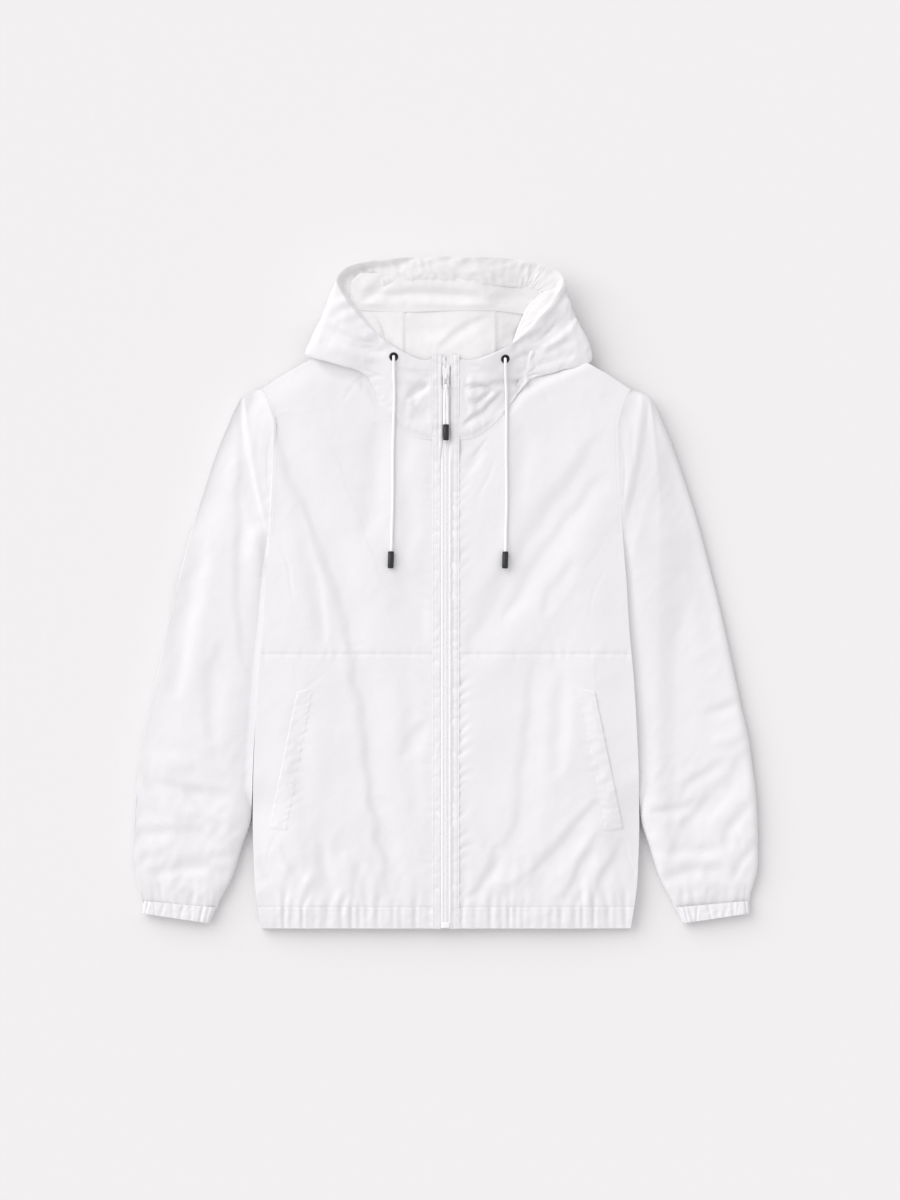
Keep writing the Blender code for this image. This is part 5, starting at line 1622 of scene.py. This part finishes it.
def braided(name, colour, pitch):
    """A round braid: strands that cross at a slant, as relief over the cord's map."""
    material = plain(name, colour, 0.72, 0.3)
    tree = material.node_tree
    strands = [waves(tree, maths(tree, way, *cut_map(tree)), pitch) for way in ("ADD", "SUBTRACT")]
    bumped(tree, maths(tree, "MULTIPLY", *strands), 0.7, 0.00005)
    return material


cord_braid = braided("white_braid", CORD_WHITE, 0.0016)
black_rubber = grained(plain("black_rubber", RUBBER, 0.42, 0.35), 700, 0.12, 0.0001)


def round_cord(points, radii, material, sides=16):
    """A round cord through the points, which are in metres. Both its ends are closed."""
    rows = len(points) + 1
    obj, mesh, s, _ = grid_of(sides, rows)
    run = np.gradient(points, axis=0)
    run /= np.linalg.norm(run, axis=1, keepdims=True)
    up = np.array([0.0, 0.0, 1.0])
    across = np.cross(run, up)
    flat_run = np.linalg.norm(across, axis=1, keepdims=True)
    across = np.where(flat_run > 0.05, across / np.maximum(flat_run, 1e-9), [[1.0, 0.0, 0.0]])
    rising = np.cross(across, run)
    ring = np.concatenate([[0], np.arange(len(points)), [len(points) - 1]])
    wide = np.concatenate([[0.0], radii, [0.0]]) * MM
    turn = s[0] * 2 * math.pi
    out = across[ring][:, None] * np.cos(turn)[None, :, None]
    out = out + rising[ring][:, None] * np.sin(turn)[None, :, None]
    shell = points[ring][:, None] + wide[:, None, None] * out
    mesh.vertices.foreach_set("co", shell.ravel())
    around = 2 * math.pi * float(np.median(radii)) * MM
    scale_map(mesh, around, np.linalg.norm(np.diff(points, axis=0), axis=1).sum())
    bpy.ops.object.mode_set(mode="EDIT")
    bpy.ops.mesh.select_all(action="SELECT")
    bpy.ops.mesh.remove_doubles(threshold=1e-7)
    bpy.ops.mesh.normals_make_consistent(inside=False)
    bpy.ops.object.mode_set(mode="OBJECT")
    mesh.shade_smooth()
    obj.data.materials.clear()
    obj.data.materials.append(material)
    return obj


def evenly(knots, step):
    """Points a step apart on a smooth curve through the knots."""
    fine = flowing(knots, 24)
    places = np.concatenate([[0], np.cumsum(np.linalg.norm(np.diff(fine, axis=0), axis=1))])
    at = np.linspace(0, places[-1], int(places[-1] / step) + 1)
    return np.stack([np.interp(at, places, fine[:, i]) for i in range(3)], -1)


def moulded_tip(width, long, top, direction):
    """A rubber tip moulded on a cord: a round-ended barrel with a shallow groove below its mouth."""
    bpy.ops.object.select_all(action="DESELECT")
    bpy.ops.mesh.primitive_cylinder_add(vertices=28, radius=width / 2 * MM, depth=long * MM)
    obj = bpy.context.object
    mouth = long / 2 * MM
    bpy.ops.object.mode_set(mode="EDIT")
    for cut in (2.2, 2.6, 3.2, 3.6):
        bpy.ops.mesh.select_all(action="SELECT")
        bpy.ops.mesh.bisect(plane_co=(0, 0, mouth - cut * MM), plane_no=(0, 0, 1))
    bpy.ops.object.mode_set(mode="OBJECT")
    for vertex in obj.data.vertices:
        down = (mouth - vertex.co.z) / MM
        groove = 0.93 if 2.4 < down < 3.4 else 1.0
        barrel = 1.0 - 0.05 * (2 * down / long - 1) ** 2
        vertex.co.x *= groove * barrel
        vertex.co.y *= groove * barrel
    rounded_edges(obj, 0.17 * width, 4, 60.0)
    direction = Vector(direction).normalized()
    turn = (-direction).to_track_quat("Z", "Y").to_matrix().to_4x4()
    obj.data.transform(Matrix.Translation(Vector(top) + direction * long / 2 * MM) @ turn)
    obj.data.shade_smooth()
    return obj


# x, y, height above the zip's cloth
PULL_LOOP = (
    (1.72, 203.0, 4.9),
    (1.72, 210.0, 4.3),
    (1.72, 220.0, 3.6),
    (1.72, 232.0, 3.6),
    (1.55, 239.0, 4.6),
    (0.95, 244.0, 6.3),
    (0.25, 247.5, 6.7),
    (0.0, 250.4, 5.6),
    (0.0, 250.4, 3.6),
    (-0.5, 247.5, 2.7),
    (-1.2, 243.0, 2.8),
    (-1.6, 238.0, 3.2),
    (-1.72, 231.0, 3.5),
    (-1.72, 220.0, 3.6),
    (-1.72, 210.0, 4.3),
    (-1.72, 203.0, 4.9),
)

loop = evenly(PULL_LOOP, 0.8)
loop_radii = np.interp(loop[:, 1], (203, 236, 245), (1.7, 1.68, 1.3))
loop[:, 2] += zip_height(loop[:, 1])
pull_loop = round_cord(in_metres(*loop.T), loop_radii, cord_braid, 14)
done(pull_loop, "zip_pull_cord", cord_braid, "zip_pull", ("pull_cord",))

tip_height = float(zip_height(PULL_TIP_TOP)) + 5.0
pull_end = moulded_tip(*PULL_TIP, Vector((0, PULL_TIP_TOP - OUTLINE_MIDDLE, tip_height)) * MM, (0, -1, -0.02))
done(pull_end, "zip_pull_tip", black_rubber, "zip_pull", ("pull_tip",))


# The eyelets and the drawcord
# Two black metal eyelets are pressed into the hood beside the zip. A round braided cord comes out of each,
# lies down over the chest and ends in a moulded black tip.

EYELETS = {"left": (-62.4, 283.8), "right": (70.8, 281.4)}
EYELET_MIDDLE = 4.0
EYELET_WIRE = 1.35
EYELET_HEIGHT = 1.7
EYELET_PROUD = 0.55
CORD = 3.4
CORD_STEP = 1.1
TIP_SIZE = (7.5, 20.4)
BLACK_METAL = (0.022, 0.022, 0.024)
# x, y
CORD_ROUTES = {
    "left": (
        (-62.4, 283.8),
        (-62.3, 276.0),
        (-62.0, 240.0),
        (-63.0, 180.0),
        (-64.0, 120.0),
        (-64.8, 80.0),
        (-65.4, 49.8),
    ),
    "right": (
        (70.8, 281.4),
        (71.0, 273.5),
        (71.8, 240.0),
        (72.4, 180.0),
        (72.2, 115.0),
        (71.6, 80.0),
        (71.2, 49.8),
    ),
}

black_metal = grained(plain("black_eyelet_metal", BLACK_METAL, 0.3, 0.5, 0.7), 600, 0.05, 0.0001)


def surface_of(*names):
    """The pieces' surface, to be looked down on."""
    points, faces = [], []
    for name in names:
        mesh = bpy.data.objects[name].data
        start = len(points)
        points += [vertex.co.copy() for vertex in mesh.vertices]
        faces += [[start + i for i in face.vertices] for face in mesh.polygons]
    return BVHTree.FromPolygons(points, faces)


def seen_at(surface, x, y):
    """The point of the surface that is seen from above at x, y in millimetres, in metres, and its normal."""
    place, normal, _, _ = surface.ray_cast(Vector((x, y - OUTLINE_MIDDLE, 120.0)) * MM, Vector((0, 0, -1)))
    return (place, normal) if place else (None, None)


chest = surface_of(
    "front_upper_left_cloth", "front_upper_right_cloth", "hood_side_left_cloth", "hood_side_right_cloth"
)


def cord_bed(x, y):
    """The height that a cord lies at over x, y, in millimetres."""
    spots = [seen_at(chest, x + dx, y + dy)[0] for dx in (-1.4, 0.0, 1.4) for dy in (-1.2, 0.0, 1.2)]
    return max(spot.z for spot in spots if spot) / MM + CORD / 2


def eyelet(hand):
    """A rolled ring with its barrel, square to the cloth. Returns the height of the cloth in it."""
    x, y = EYELETS[hand]
    ring = [seen_at(chest, x + 5 * math.cos(a), y + 5 * math.sin(a)) for a in np.linspace(0, 2 * math.pi, 12)]
    ring = [(place, normal) for place, normal in ring if place]
    normal = sum((n for _, n in ring), Vector()).normalized()
    middle = sum((p for p, _ in ring), Vector()) / len(ring)
    middle.xy = Vector((x, y - OUTLINE_MIDDLE)) * MM
    facing = normal.to_track_quat("Z", "Y").to_matrix().to_4x4()
    seat = Matrix.Translation(middle + normal * EYELET_PROUD * MM) @ facing
    bpy.ops.object.select_all(action="DESELECT")
    bpy.ops.mesh.primitive_torus_add(
        major_segments=40, minor_segments=14, major_radius=EYELET_MIDDLE * MM, minor_radius=EYELET_WIRE * MM
    )
    rolled = bpy.context.object
    rolled.data.transform(seat @ Matrix.Diagonal((1, 1, EYELET_HEIGHT / 2 / EYELET_WIRE, 1)))
    bpy.ops.mesh.primitive_cylinder_add(vertices=32, radius=(EYELET_MIDDLE - 0.6) * MM, depth=0.5 * MM)
    floor_disc = bpy.context.object
    floor_disc.data.transform(seat @ Matrix.Translation((0, 0, -0.35 * MM)))
    rolled.select_set(True)
    bpy.context.view_layer.objects.active = rolled
    bpy.ops.object.join()
    rolled.data.shade_smooth()
    done(rolled, f"eyelet_{hand}_ring", black_metal, stands_for=(f"eyelet_{hand}",))
    return middle.z / MM


def drawcord(hand, cloth_height):
    """The free end of the cord. It stands out of the eyelet, bends over its edge and lies on the cloth."""
    knots = np.array(CORD_ROUTES[hand])
    route = flowing(knots, 60)
    places = np.concatenate([[0], np.cumsum(np.hypot(*np.diff(route, axis=0).T))])
    at = np.arange(0, places[-1], CORD_STEP)
    x = np.interp(at, places, route[:, 0]) + 0.35 * np.sin(at / 23.0) * eased((at - 20) / 30)
    y = np.interp(at, places, route[:, 1])
    z = np.array([cord_bed(px, py) for px, py in zip(x, y)])
    over_ring = cloth_height + EYELET_PROUD + EYELET_HEIGHT / 2 + CORD / 2
    z = np.maximum(z, np.where(at < 7, over_ring, 0.0))
    z = np.maximum(z, np.where(at > places[-1] - 4, z.min() + 2.0, 0.0))
    for _ in range(40):
        z[1:-1] = np.maximum(z[1:-1], (z[:-2] + z[2:]) / 2 - 0.01)
    z = np.convolve(np.pad(z, 2, mode="edge"), np.ones(5) / 5, mode="valid") + 0.1
    z += (TIP_SIZE[0] - CORD) / 2 * eased((at - places[-1] + 26) / 24)
    dip = np.array([(x[0], y[0] + 0.2, cloth_height + 0.2), (x[0], y[0] + 0.1, cloth_height + 1.6)])
    keep = at > 2.0
    path = np.concatenate([dip, np.column_stack([x, y, z])[keep]])
    path = in_metres(*evenly(path, CORD_STEP).T)
    cord = round_cord(path, np.full(len(path), CORD / 2), cord_braid)
    down = path[-1] - path[-4]
    mouth = path[-1] - down / np.linalg.norm(down) * MM
    tip = moulded_tip(*TIP_SIZE, mouth, (down[0], down[1], down[2] * 0.3))
    done(tip, f"drawcord_{hand}_tip", black_rubber, stands_for=(f"cord_tip_{hand}",))
    done(cord, f"drawcord_{hand}_braid", cord_braid, stands_for=(f"drawcord_{hand}",))


for hand in SIDES:
    drawcord(hand, eyelet(hand))


# The topstitching
# White thread in straight rows beside the seams. Each stitch is pressed a little into the cloth.

STITCH_LENGTH = 2.2
STITCH_WIDE = 0.5
STITCH_HIGH = 0.36
STITCH_PITCH = 3.0
THREAD = (0.80, 0.79, 0.80)

thread = plain("white_thread", THREAD, 0.55, 0.3)


def stitched(name, rows, surface, slot="shell_nylon"):
    """Rows of stitches laid on the surface. Each row is a line of x, y points in millimetres."""
    ends = []
    for row in rows:
        line = flowing(row, 8) if len(row) > 2 else np.array(row, float)
        long = np.hypot(*np.diff(line, axis=0).T).sum()
        for start in np.arange(0.5, long - STITCH_LENGTH, STITCH_PITCH):
            pair = along_line(line, np.array([start, start + STITCH_LENGTH]) / long)
            places = [seen_at(surface, *spot) for spot in pair]
            if places[0][0] and places[1][0] and abs(places[0][0].z - places[1][0].z) < 2 * MM:
                ends.append((places[0][0], places[1][0], (places[0][1] + places[1][1]).normalized()))
    bpy.ops.object.select_all(action="DESELECT")
    bpy.ops.mesh.primitive_ico_sphere_add(subdivisions=1, radius=1.0)
    obj = bpy.context.object
    shape = np.array([vertex.co for vertex in obj.data.vertices])
    copies(obj, len(ends), 3000.0)
    first, last, normal = (np.array([end[i] for end in ends]) for i in range(3))
    run = last - first
    run /= np.linalg.norm(run, axis=1, keepdims=True)
    across = np.cross(normal, run)
    across /= np.linalg.norm(across, axis=1, keepdims=True)
    size = np.array([STITCH_LENGTH, STITCH_WIDE, STITCH_HIGH]) / 2 * MM
    points = (first + last)[:, None] / 2 + 0.06 * MM * normal[:, None]
    for i, way in enumerate((run, across, normal)):
        points = points + shape[None, :, i, None] * way[:, None] * size[i]
    obj.data.vertices.foreach_set("co", points.ravel())
    obj.data.update()
    obj.data.shade_smooth()
    return done(obj, name, thread)


def beside_line(points, off):
    """The line moved sideways, to its left."""
    points = np.array(points, float)
    run = np.gradient(points, axis=0)
    run /= np.hypot(*run.T)[:, None]
    return points + off * np.stack([-run[:, 1], run[:, 0]], -1)


placket_rows, front_rows, welt_rows, hem_rows = [], [], [], []
neck_line = flowing([row for row in NECKLINE[1:-1]], 6)
for side in SIDES.values():
    placket_rows += [((side * x, -399.5), (side * x, ZIP_TOP)) for x in PLACKET_ROWS]
    front_rows.append(((side * 17.5, CROSS_SEAM + 3.2), (side * 213.0, CROSS_SEAM + 3.2)))
    arm_y = np.linspace(70, 236, 12)
    front_rows.append(np.stack([side * (half_width(arm_y) - 4.5), arm_y], -1))
    front_rows.append(beside_line(neck_line, -4.0) * (side, 1))
    top_x = 178.5 if side > 0 else -182.0
    front_rows.append(((top_x, CROSS_SEAM - 2), (top_x, -113.0)))
    inner, outer = np.array(WELT_INNER) * (side, 1), np.array(WELT_OPENING) * (side, 1)
    welt_rows.append(inner + (outer - inner) * WELT_ROW)
    for share in (0.03, 0.97):
        welt_rows.append(np.array([along_line(line, np.array([share]))[0] for line in (inner, outer)]))
    hem_rows.append(((side * 17.0, HEM_TOP - 3.2), (side * 221.0, HEM_TOP - 3.2)))
    hem_rows.append(((side * 17.0, HEM_BOTTOM + 3.6), (side * 218.0, HEM_BOTTOM + 3.6)))

stitched("placket_stitches", placket_rows, surface_of("placket_left_cloth", "placket_right_cloth"))
fronts = surface_of(*(f"front_{part}_{hand}_cloth" for part in ("upper", "lower") for hand in SIDES))
stitched("front_stitches", front_rows, fronts)
stitched("welt_stitches", welt_rows, surface_of("pocket_welt_left_cloth", "pocket_welt_right_cloth"))
stitched("hem_stitches", hem_rows, surface_of("hem_left_cloth", "hem_right_cloth"))

cuff_rows = []
for side in SIDES.values():
    a = np.linspace(0.06, 0.44, 9)
    points, _ = cuff_base(side, a, np.full(9, 0.86))
    cuff_rows.append(points[:, :2] / MM + (0, OUTLINE_MIDDLE))
stitched("cuff_stitches", cuff_rows, surface_of("cuff_left_cloth", "cuff_right_cloth"))

along = np.linspace(0.06, 0.94, 90)[None]
casing_points = casing_form(along.repeat(3, 0), np.full((3, 90), CASING_STITCH))
casing_line = casing_points[1, :, :2] / MM + (0, OUTLINE_MIDDLE)
stitched("casing_stitches", [casing_line], surface_of("hood_casing_cloth"), "hood_facing")
crown_rows = [((at + off, 297.0), (at + off, 334.0)) for at in CROWN_SEAMS for off in (-4.4, 3.6)]
stitched("crown_stitches", crown_rows, surface_of("hood_crown_lower_layer"), "hood_facing")

bpy.ops.object.select_all(action="DESELECT")
